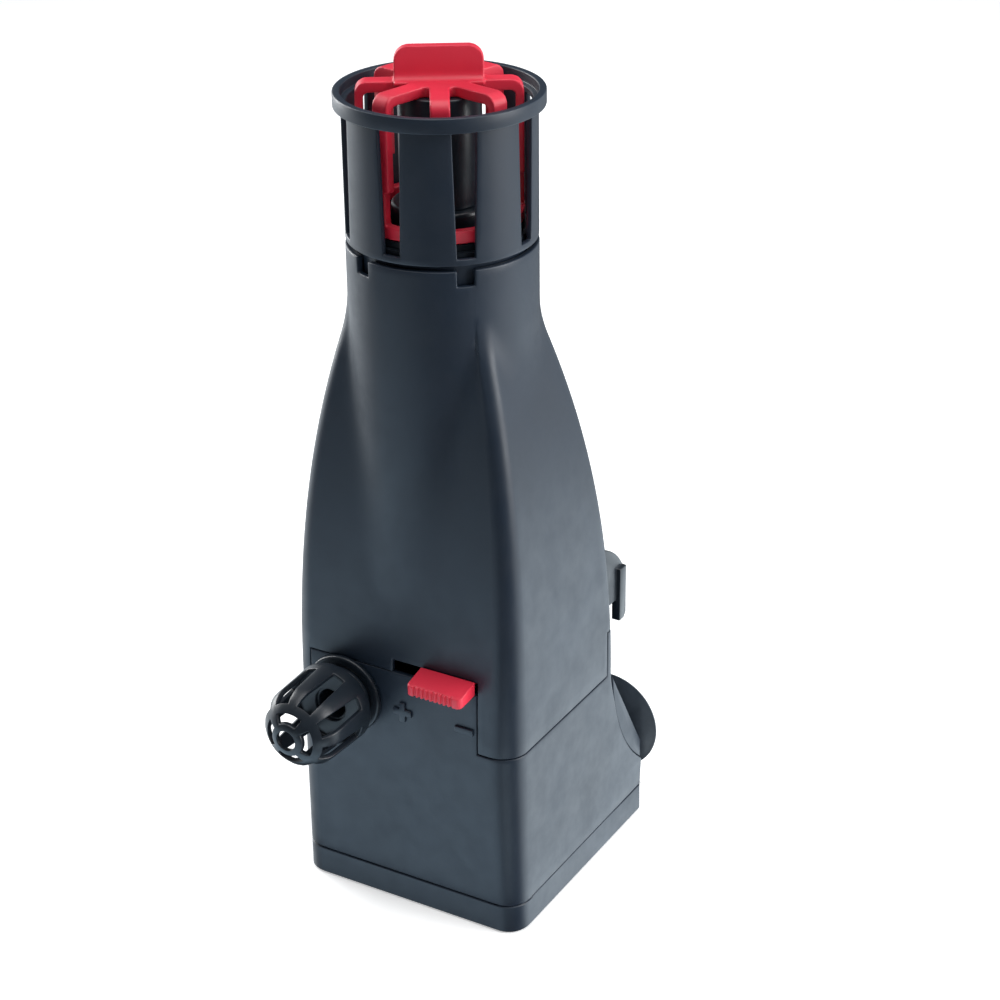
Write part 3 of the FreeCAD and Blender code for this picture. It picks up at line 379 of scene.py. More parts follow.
class Nodes:
    """A material's node tree, with short ways to add and join nodes."""

    def __init__(self, name):
        self.material = bpy.data.materials.new(name)
        self.material.use_nodes = True
        self.tree = self.material.node_tree
        self.tree.nodes.clear()
        self.shader = self.add("ShaderNodeBsdfPrincipled")
        output = self.add("ShaderNodeOutputMaterial")
        self.join(self.shader.outputs["BSDF"], output.inputs["Surface"])
        self.place = self.add("ShaderNodeTexCoord").outputs["Object"]

    def add(self, kind, **values):
        node = self.tree.nodes.new(kind)
        for key, value in values.items():
            setattr(node, key, value)
        return node

    def join(self, a, b):
        self.tree.links.new(a, b)

    def set(self, **values):
        for key, value in values.items():
            self.shader.inputs[key.replace("_", " ")].default_value = value

    def noise(self, size_mm, detail=2.0, roughness=0.5, stretch=None):
        """Noise whose features are about size_mm across."""
        node = self.add("ShaderNodeTexNoise")
        node.inputs["Scale"].default_value = 1 / (size_mm * MM)
        node.inputs["Detail"].default_value = detail
        node.inputs["Roughness"].default_value = roughness
        place = self.place
        if stretch:
            mapping = self.add("ShaderNodeMapping")
            mapping.inputs["Scale"].default_value = stretch
            self.join(place, mapping.inputs["Vector"])
            place = mapping.outputs["Vector"]
        self.join(place, node.inputs["Vector"])
        return node.outputs["Fac"]

    def cells(self, size_mm):
        node = self.add("ShaderNodeTexVoronoi", feature="F1")
        node.inputs["Scale"].default_value = 1 / (size_mm * MM)
        self.join(self.place, node.inputs["Vector"])
        return node.outputs["Distance"]

    def span(self, value, low, high, start=0.3, end=0.7):
        node = self.add("ShaderNodeMapRange")
        self.join(value, node.inputs["Value"])
        node.inputs["From Min"].default_value = start
        node.inputs["From Max"].default_value = end
        node.inputs["To Min"].default_value = low
        node.inputs["To Max"].default_value = high
        return node.outputs["Result"]

    def mixed(self, value, dark, light, start=0.3, end=0.7):
        ramp = self.add("ShaderNodeValToRGB")
        ramp.color_ramp.elements[0].position = start
        ramp.color_ramp.elements[0].color = (*dark, 1)
        ramp.color_ramp.elements[1].position = end
        ramp.color_ramp.elements[1].color = (*light, 1)
        self.join(value, ramp.inputs["Fac"])
        return ramp.outputs["Color"]

    def bump(self, height, strength, depth_mm, below=None):
        node = self.add("ShaderNodeBump")
        node.inputs["Strength"].default_value = strength
        node.inputs["Distance"].default_value = depth_mm * MM
        self.join(height, node.inputs["Height"])
        if below:
            self.join(below, node.inputs["Normal"])
        return node.outputs["Normal"]


def tint(colour, factor):
    return tuple(min(1.0, c * factor) for c in colour)


def moulded_plastic(name, colour, roughness, grain_mm=0.35, grain=0.25, flow=0.1):
    """Plastic with a fine spark-eroded grain, slow colour drift from moulding and uneven gloss."""
    m = Nodes(name)
    drift = m.noise(34, 3)
    m.join(m.mixed(drift, tint(colour, 1 - flow), tint(colour, 1 + flow)), m.shader.inputs["Base Color"])
    m.join(m.span(m.noise(7, 4, 0.6), roughness - 0.05, roughness + 0.06), m.shader.inputs["Roughness"])
    waves = m.bump(m.noise(16, 1), 0.15, 0.02)
    fine = m.bump(m.noise(grain_mm, 2, 0.6), grain, 0.02, waves)
    m.join(fine, m.shader.inputs["Normal"])
    return m.material


def soft_rubber(name, colour):
    """Smooth rubber with a faint bloom and small moulding dimples."""
    m = Nodes(name)
    bloom = m.noise(5, 4, 0.65)
    m.join(m.mixed(bloom, tint(colour, 0.85), tint(colour, 1.2)), m.shader.inputs["Base Color"])
    m.join(m.span(m.noise(2.5, 3), 0.36, 0.52), m.shader.inputs["Roughness"])
    m.join(m.bump(m.noise(0.8, 3), 0.2, 0.03), m.shader.inputs["Normal"])
    return m.material


def foam(name, colour):
    """Open-cell filter foam: painted shade darkens the pore hollows between lighter thin webs."""
    m = Nodes(name)
    pores = m.cells(1.6)
    # painted shade: the colour runs from dark at each pore's middle to light on the webs, standing in for
    # shade in the hollows; the same cells also drive the real bump below
    m.join(m.mixed(pores, tint(colour, 0.35), tint(colour, 1.7), 0.15, 0.55), m.shader.inputs["Base Color"])
    m.set(Roughness=0.92)
    fine = m.bump(m.noise(0.5, 4, 0.7), 0.4, 0.15)
    m.join(m.bump(pores, 0.9, 0.6, fine), m.shader.inputs["Normal"])
    return m.material


def brushed_metal(name, colour, roughness, stretch=(1, 1, 14)):
    """Drawn metal with fine lines and a few dull patches."""
    m = Nodes(name)
    lines = m.noise(1.2, 4, 0.7, stretch)
    m.join(m.mixed(lines, tint(colour, 0.82), tint(colour, 1.1)), m.shader.inputs["Base Color"])
    m.join(m.span(lines, roughness - 0.08, roughness + 0.1), m.shader.inputs["Roughness"])
    m.join(m.bump(lines, 0.15, 0.01), m.shader.inputs["Normal"])
    m.set(Metallic=1.0)
    return m.material


def wound_copper(name, colour):
    """Rows of enamelled wire, with painted shade in the grooves between the turns."""
    m = Nodes(name)
    wires_scale, unevenness = 900, 0.4
    wave = m.add("ShaderNodeTexWave", bands_direction="X")
    wave.inputs["Scale"].default_value = wires_scale
    wave.inputs["Distortion"].default_value = unevenness
    m.join(m.place, wave.inputs["Vector"])
    rows = wave.outputs["Fac"]
    # painted shade: the colour darkens in the troughs of the bands, standing in for shade in the grooves
    # between the wires; the bands also drive the bump
    m.join(m.mixed(rows, tint(colour, 0.4), colour, 0.1, 0.7), m.shader.inputs["Base Color"])
    m.join(m.span(m.noise(2), 0.28, 0.42), m.shader.inputs["Roughness"])
    m.join(m.bump(rows, 0.8, 0.2), m.shader.inputs["Normal"])
    m.set(Metallic=0.9)
    return m.material


def sintered(name, colour, roughness, speck_mm):
    """A fired or pressed material with small pores."""
    m = Nodes(name)
    specks = m.noise(speck_mm, 5, 0.7)
    m.join(m.mixed(specks, tint(colour, 0.8), tint(colour, 1.12)), m.shader.inputs["Base Color"])
    m.join(m.span(specks, roughness - 0.06, roughness + 0.08), m.shader.inputs["Roughness"])
    m.join(m.bump(specks, 0.2, 0.02), m.shader.inputs["Normal"])
    return m.material


def make_materials():
    return {
        "casing": moulded_plastic("casing_plastic", (0.010, 0.019, 0.034), 0.42),
        "casing_dark": moulded_plastic("dark_plastic", (0.009, 0.014, 0.021), 0.34, 0.3, 0.15),
        "red_plastic": moulded_plastic("red_moulded_plastic", (0.66, 0.022, 0.052), 0.42, 0.5, 0.12, 0.06),
        "cup_rubber": soft_rubber("cup_rubber", (0.040, 0.052, 0.068)),
        "seal_rubber": soft_rubber("seal_rubber", (0.012, 0.012, 0.013)),
        "sponge": foam("filter_foam", (0.030, 0.034, 0.038)),
        "steel": brushed_metal("stainless_steel", (0.62, 0.62, 0.61), 0.3),
        "core_steel": brushed_metal("laminated_steel", (0.30, 0.30, 0.31), 0.45, (1, 30, 1)),
        "copper": wound_copper("wound_copper", (0.70, 0.33, 0.16)),
        "potting": moulded_plastic("epoxy_potting", (0.010, 0.010, 0.011), 0.2, 3.0, 0.3),
        "magnet": sintered("ferrite", (0.045, 0.046, 0.050), 0.55, 0.5),
        "ceramic": sintered("fired_ceramic", (0.84, 0.82, 0.77), 0.2, 0.8),
        "impeller_plastic": moulded_plastic("pale_plastic", (0.62, 0.65, 0.68), 0.4),
    }


# ---- the casing's outline ----

def drop(z, amount, power):
    return amount * (max(0.0, z - PARTING_Z) / TAPER_HEIGHT) ** power


def foot_share(z):
    return max(0.0, 1 - z / PARTING_Z)


def half_width(z):
    return HALF_WIDTH + (FOOT_HALF_WIDTH - HALF_WIDTH) * foot_share(z) - drop(z, *WIDTH_DROP)


def front_depth(z):
    return FRONT_DEPTH + (FOOT_FRONT - FRONT_DEPTH) * foot_share(z) - drop(z, *FRONT_DROP)


def back_depth(z):
    return BACK_DEPTH - drop(z, *BACK_DROP)


def flare_circle():
    """The centre and radius, in the YZ plane, of the scoop above the foot."""
    (ax, ay), (bx, by), (cx, cy) = (FOOT_Y, FOOT_TOP), (FLARE_Y, FLARE_Z), (BACK_DEPTH, PARTING_Z)
    d = 2 * (ax * (by - cy) + bx * (cy - ay) + cx * (ay - by))
    a2, b2, c2 = ax * ax + ay * ay, bx * bx + by * by, cx * cx + cy * cy
    y = (a2 * (by - cy) + b2 * (cy - ay) + c2 * (ay - by)) / d
    z = (a2 * (cx - bx) + b2 * (ax - cx) + c2 * (bx - ax)) / d
    return y, z, math.hypot(ax - y, ay - z)


def scoop(z):
    """How far back the foot reaches at a height."""
    if z <= FOOT_TOP:
        return FOOT_Y
    y, centre_z, r = flare_circle()
    return y - math.sqrt(max(0.0, r * r - (z - centre_z) ** 2))


def column_places(gap):
    """Where the casing's mesh has its columns: x across the front and y along the sides."""
    left, right = PANEL_LEFT - gap, PANEL_RIGHT + gap
    front = steps(COLUMN_LEFT, SLIT_LEFT, 14) + steps(SLIT_LEFT, right, 14)[1:] + COLUMNS_RIGHT
    side = steps(SIDE_START, TAB_Y - gap, 22)
    return left, front, side


def perimeter(z, gap, back, back_r, inset=0.0):
    """The casing's rounded rectangle at a height, as points from the front's left end round to the right."""
    left, front, side = column_places(gap)
    rise = max(0.0, z - PARTING_Z) / TAPER_HEIGHT
    x, f, b = half_width(z) - inset, front_depth(z) - inset, back - inset
    rf = max(FRONT_CORNER_R - foot_share(z) - FRONT_SHARPENING * rise - inset, 1.0)
    rb = max(back_r - inset, 0.5)
    top_width = half_width(STRAIGHT_TOP) - FRONT_CORNER_R
    scale = 1.0 if z <= STRAIGHT_TOP else (x - rf) / top_width
    w, left = x - rf, left * scale
    points = [(u * scale, -f) for u in front]
    points += [(w + rf * math.sin(a), -f + rf - rf * math.cos(a)) for a in steps(0, math.pi / 2, 10)]
    low, high = -f + rf, b - rb
    tab_fits = b - rb > side[-1] + 0.3 and z <= STRAIGHT_TOP
    edge = side[-1] if tab_fits else lerp(low, high, 0.95)
    shares = [(s - side[0]) / (side[-1] - side[0]) for s in side[1:]]
    right = [(x, lerp(low, edge, s)) for s in shares] + [(x, high)]
    corner = [(x - rb + rb * math.cos(a), high + rb * math.sin(a)) for a in steps(0, math.pi / 2, 6)[1:]]
    rear = [(u, b) for u in steps(x - rb, -x + rb, 28)[1:-1]]
    points += right + corner + rear + [(-u, v) for u, v in reversed(right + corner)]
    reach = min(0.95, max(0.0, (-left - w) / rf))
    panel_edge = math.asin(reach)
    turns = steps(math.pi / 2, panel_edge, 8) + [panel_edge * 0.5]
    points += [(-w - rf * math.sin(a), -f + rf - rf * math.cos(a)) for a in turns]
    return points


def shoulder(z):
    """The chamber's outline at a height, where its rounded rectangle melts into the round neck."""
    rise = max(0.0, z - PARTING_Z) / TAPER_HEIGHT
    blend = CREASE * smoothstep(z, CREASE_LOW, CREASE_HIGH)
    low_z, back_r = min(z, SHOULDER_TOP), BACK_CORNER_R + BACK_WIDENING * rise
    points = perimeter(low_z, PANEL_GAP, back_depth(low_z), back_r)
    settle = smoothstep(z, SETTLE_LOW, SHOULDER_TOP)
    neck = NECK_R if z > NECK_START else 0.0
    out = []
    for x, y in points:
        r = math.hypot(x, y)
        azimuth = math.degrees(math.atan2(x, -y))
        azimuth = lerp(azimuth, notch_snap(azimuth), settle)
        out.append(polar(smooth_max(r, neck, blend), azimuth, z))
    return out


def notch_edges():
    return [(centre + side * NOTCH_HALF + 180) % 360 - 180 for centre in NOTCHES for side in (-1, 1)]


def notch_snap(azimuth):
    """Draws the column nearest to a notch's edge onto it."""
    reach = 1.7
    for edge in notch_edges():
        if abs(azimuth - edge) < reach:
            return edge
    return azimuth


# ---- the casing's pieces ----

def in_panel(x, z, gap):
    return PANEL_LEFT - gap < x < PANEL_RIGHT + gap and z < PANEL_TOP + gap


def upper_housing():
    """The filter chamber, cut out round the front panel, the slider's slit, the rear tab and the notches."""
    notch_row = 203.5
    heights = [PARTING_Z + SEAM] + TRIM_ROWS + [TAB_TOP + PANEL_GAP, PANEL_TOP + PANEL_GAP, SLIT_TOP]
    heights += steps(NECK_START - 1, SHOULDER_TOP - 1, 56) + [SHOULDER_TOP + 2]
    heights += [NECK_TOP - NOTCH_DEPTH, notch_row, NECK_TOP]
    rows = [shoulder(z) for z in heights]

    def keep(i, k):
        j = (k + 1) % len(rows[0])
        x, y, z = (rows[i][k] + rows[i + 1][j]) / 2
        if y < FRONT_ZONE_Y and in_panel(x, z, PANEL_GAP):
            return False
        if y < FRONT_ZONE_Y and SLIT_LEFT < x < PANEL_RIGHT + PANEL_GAP and z < SLIT_TOP:
            return False
        if y > TAB_Y - PANEL_GAP and z < TAB_TOP + PANEL_GAP:
            return False
        if z > NECK_TOP - NOTCH_DEPTH:
            azimuth = math.degrees(math.atan2(x, -y))
            return all(abs((azimuth - c + 180) % 360 - 180) > NOTCH_HALF for c in NOTCHES)
        return True

    obj = wall_grid("chamber_shell", rows, keep)
    return rounded(thickened(obj, WALL - 0.1), 0.4, 3)


def lower_housing():
    """The pump housing with its scooped foot, and the panel and tab that rise above the parting."""
    outlet_hole_r, gland_hole_r, fade_z = 10.02, 3.42, 48.0
    heights = [BASE_TOP, 14.0, FOOT_TOP - 0.4] + steps(FOOT_TOP, PARTING_Z, 26)
    heights += TRIM_ROWS + [TAB_TOP, PANEL_TOP]
    rows = []
    for z in heights:
        back = scoop(z) if z <= PARTING_Z else back_depth(z)
        back_r = lerp(FOOT_CORNER_R, FLARE_CORNER_R, smoothstep(z, BASE_TOP, FOOT_TOP))
        back_r = lerp(back_r, BACK_CORNER_R, smoothstep(z, fade_z, PARTING_Z))
        rows.append([Vector((x, y, z)) for x, y in perimeter(z, 0.0, back, back_r)])

    def keep(i, k):
        j = (k + 1) % len(rows[0])
        x, y, z = (rows[i][k] + rows[i + 1][j]) / 2
        if z < PARTING_Z:
            return True
        return (y < FRONT_ZONE_Y and in_panel(x, z, 0)) or (y > TAB_Y and z < TAB_TOP)

    obj = thickened(wall_grid("pump_housing_shell", rows, keep), WALL, even=False)
    hole = drill(outlet_hole_r, -6, 12, 72, (SOCKET_LOW + SOCKET_HIGH) / 2)
    low, high = cad("cable_gland")
    entry = drill(gland_hole_r, -6, 8, 40, (low + high) / 2)
    return rounded(cut(obj, hole, entry), 0.4, 3)


def base_plate():
    """The tray. Its groove under the pump housing shows at the front and back, and not along the sides."""
    edge, lip, closed_from, closed_to = 0.7, BASE_TOP - SEAM, -20.0, 33.0
    heights = [(0.0, edge), (edge, 0.0), (4.0, 0.0), (lip - 0.3, 0.0), (lip, 0.3)]
    heights += [(lip, SEAM_DEPTH), (BASE_TOP, SEAM_DEPTH)]
    rows = []
    for z, inset in heights:
        outer = perimeter(z, 0.0, FOOT_Y, FOOT_CORNER_R)
        inner = perimeter(z, 0.0, FOOT_Y, FOOT_CORNER_R, inset)
        in_groove = z > BASE_TOP / 2
        ring = [(p if in_groove and closed_from < p[1] < closed_to else q) for p, q in zip(outer, inner)]
        rows.append([Vector((x, y, z)) for x, y in ring])
    low, high = cad("base_screws")
    head_r, sink_r, sink_depth = 3.0, 3.3, 3.6
    sinks = [drill(sink_r, -5, sink_depth, 48, (x, y, 0), "z")
             for x in (low.x + head_r, high.x - head_r) for y in (low.y + head_r, high.y - head_r)]
    return rounded(cut(closed_grid("base_tray", rows), *sinks), 0.35, 3, 50)


def flow_signs():
    """The raised plus and minus under the slider."""
    plus_x, minus_x, z, reach, half, height = 0.8, 21.8, 68.4, 3.15, 1.0, 0.7
    face = -front_depth(z)

    def raised(name, x, outline):
        places = [(x + u, z + v) for u, v in outline]
        return rounded(prism(name, places, "y", face - height, face + 0.4), 0.25, 3)

    corner = [(half, half), (half, reach), (-half, reach)]
    quarters = ((1, 0), (0, 1), (-1, 0), (0, -1))
    plus = [(u * c - v * s, u * s + v * c) for c, s in quarters for u, v in corner]
    minus = [(reach, half), (-reach, half), (-reach, -half), (reach, -half)]
    return joined("flow_signs", [raised("plus", plus_x, plus), raised("minus", minus_x, minus)])


def cup_carrier():
    """The wedge that fills the scoop behind the foot."""
    gap_y, gap_z, knee_z = 0.15, 0.1, 25.5
    y, z, r = flare_circle()
    start = math.degrees(math.atan2(FOOT_TOP - z, FOOT_Y - y)) % 360
    end = math.degrees(math.atan2(CARRIER_HIGH.z - z, scoop(CARRIER_HIGH.z) - y)) % 360
    outline = [(u + gap_y, v + gap_z) for u, v in bow((y, z), r, start, end, 24)] + [(FOOT_Y, knee_z)]
    return rounded(prism("suction_cup_carrier", outline, "x", CARRIER_LOW.x, CARRIER_HIGH.x), 0.45, 3, 30)


def suction_cup(node):
    """A thin bell with a stepped hub, a bead round its rim and a hollow face."""
    low, high = cad(node)
    x, z, face, r = (low.x + high.x) / 2, (low.z + high.z) / 2, high.y, (high.x - low.x) / 2
    stud_r, bell_r, pit_r = 2.9, 7.8, 3.0
    hub = [(6.2, 4.95), (6.6, 3.9), (7.2, 3.5)]                                # radius, depth behind the face
    bead = [(0.05, 0.75), (0.0, 0.4), (0.25, 0.05), (1.0, 0.0), (1.9, 0.05)]   # way in from the rim, depth
    outer = [(0, low.y), (stud_r, low.y), (stud_r, face - hub[0][1])] + [(u, face - v) for u, v in hub]
    bell = [(lerp(bell_r, r - 0.5, t), face - 3.3 + 2.4 * t ** 1.7) for t in steps(0, 1, 10)]
    rim = [(r - u, face - v) for u, v in bead]
    inside = [(lerp(r - 2.6, pit_r, t), face - 0.5 - 2.0 * (1 - (1 - t) ** 2)) for t in steps(0, 1, 8)]
    profile = outer + bell + rim + inside + [(0, face - 2.6)]
    return shade(lathe(node + "_bell", profile, 96, (x, 0, z), "y"), 60)


def foam_block():
    """The sponge: a block that fills the chamber, with the rough skin of cut foam."""
    low, high = cad("filter_sponge")
    step = 1.1
    margin, end, swell, rough, grain = 0.3, 3.0, 0.7, 0.3, 1.6
    inset = half_width(low.z) - high.x + 0.25
    rows = []
    for z in steps(low.z + margin, high.z - margin, round((high.z - low.z) / step)):
        fullness = swell * min(1.0, (z - low.z) / end, (high.z - z) / end)
        ring = perimeter(z, 0.0, back_depth(z), BACK_CORNER_R, inset + 1.1 - fullness)
        rows.append([Vector((x, y, z)) for x, y in evenly(ring, step)])

    def crumble(vertex):
        return vertex.normal * rough * MM * noise.noise(vertex.co / (grain * MM))

    return shade(closed_grid("filter_foam_block", rows, crumble), 70)


# ---- inlet cage ----

CAGE_R, CAGE_WALL = 26.85, 1.6
RIM_R, RIM_IN_R = CAGE_HIGH.x, 26.9
COLLAR_R, COLLAR_IN_R = 24.75, 23.55
CAGE_Z0, CAGE_FLOOR, CAGE_Z1 = 207.2, 208.4, 244.4
SLOT_Z0, SLOT_Z1 = 209.0, 244.1
SLOT_LOW_HALF, SLOT_TOP_HALF, SLOT_OFFSET = 5.6, 7.5, 0.5
SLOTS, SLOT_COLUMNS, BAR_COLUMNS = 8, 4, 10
RIM_GROOVE = 1.4
LUG_OFFSET = 18.0                # how far each lug is turned past its notch


def cage_columns(half):
    """Azimuths of the cage's columns: each bar, then each slot with a given half angle."""
    pitch = 360 / SLOTS
    out = []
    for i in range(SLOTS):
        centre = SLOT_OFFSET + i * pitch
        out += [centre + a for a in steps(-half, half, SLOT_COLUMNS)[:-1]]
        out += [centre + a for a in steps(half, pitch - half, BAR_COLUMNS)[:-1]]
    return out


def cage_row(r, z):
    share = min(1.0, max(0.0, (z - SLOT_Z0) / (SLOT_Z1 - SLOT_Z0)))
    half = lerp(SLOT_LOW_HALF, SLOT_TOP_HALF, share)
    return [polar(r, a, z) for a in cage_columns(half)]


def inlet_cage():
    """The slotted cage with its rim, and the collar with its lugs that drops into the neck."""
    inner_r = CAGE_R - CAGE_WALL
    wall_heights = steps(SLOT_Z0, SLOT_Z1, 6)
    outer = [(CAGE_R, CAGE_Z0)] + [(CAGE_R, z) for z in wall_heights]
    rim = [(CAGE_R, CAGE_Z1), (RIM_R, CAGE_Z1), (RIM_R, CAGE_HIGH.z), (RIM_IN_R, CAGE_HIGH.z),
           (RIM_IN_R, CAGE_Z1 + RIM_GROOVE), (inner_r, CAGE_Z1 + RIM_GROOVE)]
    inner = [(inner_r, z) for z in reversed(wall_heights)]
    foot = [(inner_r, CAGE_FLOOR), (COLLAR_IN_R, CAGE_FLOOR), (COLLAR_IN_R, CAGE_LOW.z)]
    foot += [(COLLAR_R, CAGE_LOW.z), (COLLAR_R, CAGE_Z0)]
    profile = outer + rim + inner + foot
    first, last = 1, len(wall_heights)
    inner_first = len(outer) + len(rim)
    inner_last = inner_first + last - first
    rows = []
    for i, (r, z) in enumerate(profile):
        partner = None
        if first <= i <= last:
            partner = inner_first + (last - i)
        rows.append((cage_row(r, z), partner))
    per_slot = len(rows[0][0]) // SLOTS

    def window(i, k):
        i, k = i % len(profile), k % len(rows[0][0])
        in_slot = k % per_slot < SLOT_COLUMNS
        return in_slot and (first <= i < last or inner_first <= i < inner_last)

    shell = pierced_lathe("inlet_cage_bars", rows, window)
    lugs = [lug(c + LUG_OFFSET) for c in NOTCHES]
    return joined("surface_inlet_cage", [rounded(shell, 0.35, 3)] + lugs)


def lug(azimuth):
    """A bayonet lug on the collar."""
    half, r0, r1, z0, z1 = 4.8, COLLAR_R - 0.4, 25.75, 199.0, 201.0
    inner = [polar(r0, azimuth + a, 0) for a in steps(-half, half, 4)]
    outer = [polar(r1, azimuth + a, 0) for a in steps(half, -half, 4)]
    return rounded(prism("lug", [(p.x, p.y) for p in inner + outer], "z", z0, z1), 0.25, 2)


# ---- float ----

FLOAT_AZIMUTH = 32.0
ARMS, ARM_HALF, ARM_R = 8, 2.65, 22.8
ARM_TOP, ARM_UNDER = 251.2, 248.2
SHOULDER_R, LEG_THICK, LEG_STEP_Z, LEG_FOOT_HALF = 3.4, 2.2, 225.0, 1.1
LEG_ROOT, LEG_FILLET = -12.0, 1.4
RING_R, RING_IN_R, RING_TOP = FRAME_HIGH.x, 20.2, 215.6
WEB_R = 9.0
TAB_HALF, TAB_THICK, TAB_CORNER_R, TAB_FOOT_R = 12.15, 3.0, 4.2, 2.4


def turned(obj, degrees):
    obj.data.transform(Matrix.Rotation(math.radians(degrees), 4, "Z"))
    return obj


def star_plate():
    """The top plate: eight arms that run together in concave webs."""
    half_pitch = math.pi / ARMS
    sine = math.sin(half_pitch)
    centre_r = (WEB_R - ARM_HALF) / (1 - sine)
    fillet_r = centre_r * sine - ARM_HALF
    outline = []
    for i in range(ARMS):
        a = 2 * half_pitch * i
        along, across = Vector((math.sin(a), -math.cos(a))), Vector((math.cos(a), math.sin(a)))
        reach = ARM_R - SHOULDER_R + 0.4
        foot = centre_r * math.cos(half_pitch)
        outline += [tuple(along * foot - across * ARM_HALF), tuple(along * reach - across * ARM_HALF),
                    tuple(along * reach + across * ARM_HALF), tuple(along * foot + across * ARM_HALF)]
        b = a + half_pitch
        middle = Vector((math.sin(b), -math.cos(b))) * centre_r
        sweep = math.pi / 2 - half_pitch
        for t in steps(-sweep, sweep, 6)[1:-1]:
            outline.append(tuple(middle - Vector((math.sin(b - t), -math.cos(b - t))) * fillet_r))
    return prism("star", outline, "z", ARM_UNDER, ARM_TOP)


def float_leg():
    """One arm's shoulder and leg, built towards the front."""
    out = -ARM_R
    curve = bow((out + SHOULDER_R, ARM_TOP - SHOULDER_R), SHOULDER_R, 180, 90, 8)
    inside = out + LEG_THICK
    profile = curve + [(LEG_ROOT, ARM_TOP), (LEG_ROOT, ARM_UNDER), (inside + LEG_FILLET, ARM_UNDER),
                       (inside + 0.4, ARM_UNDER - 0.4), (inside, ARM_UNDER - LEG_FILLET),
                       (inside, LEG_STEP_Z), (out, LEG_STEP_Z)]
    leg = prism("leg", profile, "x", -ARM_HALF, ARM_HALF)
    low, high = (-LEG_FOOT_HALF, out + 0.05, RING_TOP - 1.5), (LEG_FOOT_HALF, inside, LEG_STEP_Z + 1)
    return [leg, box("foot", low, high)]


def grip_tab():
    """The finger tab on the star, and the fillets along its foot."""
    top, z0, r = FRAME_HIGH.z, ARM_TOP - 1, TAB_CORNER_R
    outline = [(-TAB_HALF, z0), (TAB_HALF, z0)]
    outline += bow((TAB_HALF - r, top - r), r, 0, 90, 8) + bow((-TAB_HALF + r, top - r), r, 90, 180, 8)
    tab = prism("tab", outline, "y", -TAB_THICK / 2, TAB_THICK / 2)
    r, half = TAB_FOOT_R, TAB_THICK / 2
    fillet = bow((half + r, ARM_TOP + r), r, 270, 180, 6)
    outline = [(-half - r, z0), (half + r, z0)] + fillet + [(-u, v) for u, v in reversed(fillet)]
    return [tab, prism("tab_foot", outline, "x", -TAB_HALF, TAB_HALF)]


def float_frame():
    """The star with its tab, legs and ring, melted into one moulding."""
    parts = [star_plate()] + grip_tab()
    for i in range(ARMS):
        parts += [turned(p, i * 360 / ARMS) for p in float_leg()]
    ring = [(RING_IN_R, FRAME_LOW.z), (RING_R, FRAME_LOW.z), (RING_R, RING_TOP), (RING_IN_R, RING_TOP)]
    parts.append(lathe("ring", ring, 128))
    obj = turned(joined("float_spider", parts), FLOAT_AZIMUTH)
    remesh = obj.modifiers.new("one_skin", "REMESH")
    remesh.mode = "VOXEL"
    remesh.voxel_size = 0.3 * MM
    smooth = obj.modifiers.new("soft_edges", "SMOOTH")
    smooth.factor = 0.5
    smooth.iterations = 4
    apply_modifiers(obj)
    obj.data.shade_smooth()
    return obj


def float_body():
    wall, lid = 1.4, 1.6
    r, z0, z1 = BODY_HIGH.x, BODY_LOW.z, BODY_HIGH.z
    profile = [(0, z1 - lid), (r - wall, z1 - lid), (r - wall, z0), (r, z0), (r, z1), (0, z1)]
    return lathe("float_can", soften(profile, 0.6), 96)


def float_base():
    r, z0, z1, top = FOOT_HIGH.x, FOOT_LOW.z, BODY_LOW.z, FOOT_HIGH.z
    plug_r = BODY_HIGH.x - 1.5
    profile = [(0, z0), (r, z0), (r, z1), (plug_r, z1), (plug_r, top), (0, top)]
    return lathe("float_cap", soften(profile, 1.4, 5), 96)


# ---- outlet ----

OUTLET = Vector(((SOCKET_LOW.x + SOCKET_HIGH.x) / 2, 0.0, (SOCKET_LOW.z + SOCKET_HIGH.z) / 2))
PIVOT_Y = -29.5
SKIRT_Y, SKIRT_R = -35.5, 12.9
DOME_Y, DOME_R, DOME_LENGTH = -50.0, 12.4, 11.0
NOZZLE_WALL, TIP_R = 1.6, 3.1
NOZZLE_SLOTS = 8
WINDOW_Y0, WINDOW_Y1 = -39.5, -56.3
NOSE_R0, NOSE_R1 = 5.2, 7.8
WINDOW_BACK_ANGLE, WINDOW_FRONT_ANGLE, NOSE_ANGLE = 9.3, 14.0, 9.5
NECK_IN_R, BELL_FLOOR = 5.2, 2.2
RIB_COLUMNS, WINDOW_COLUMNS = 2, 5       # columns of the mesh in half a rib and in a window


def outlet_socket():
    """The collar that stands out of the front panel."""
    y0, y1, r = SOCKET_LOW.y, SOCKET_HIGH.y, SOCKET_HIGH.x - OUTLET.x
    bore_r, spigot_r, seat_y = 9.4, 10.0, -FRONT_DEPTH - 0.02
    profile = [(bore_r, y0), (r, y0), (r, seat_y), (spigot_r, seat_y), (spigot_r, y1), (bore_r, y1)]
    return lathe("outlet_collar", soften(profile, 0.8), 96, OUTLET, "y")


def swivel_ring():
    """The ring in the collar, with a round seat for the ball."""
    low, high = cad("swivel_ring")
    outer_r, bore_r, seat_r = 9.34, 6.2, 7.7
    seat = bow((0.0, PIVOT_Y), seat_r, -20, 36, 8)
    profile = [(outer_r, low.y), (outer_r, high.y), (bore_r, high.y)] + list(reversed(seat))
    profile += [(math.sqrt(seat_r ** 2 - (low.y - PIVOT_Y) ** 2), low.y)]
    return lathe("outlet_ring", soften(profile, 0.3), 96, OUTLET, "y")


def dome_r(y, radius, length):
    return radius * math.sqrt(max(0.0, 1 - ((DOME_Y - y) / length) ** 2))


def dome_y(r, radius, length):
    return DOME_Y - length * math.sqrt(max(0.0, 1 - (r / radius) ** 2))


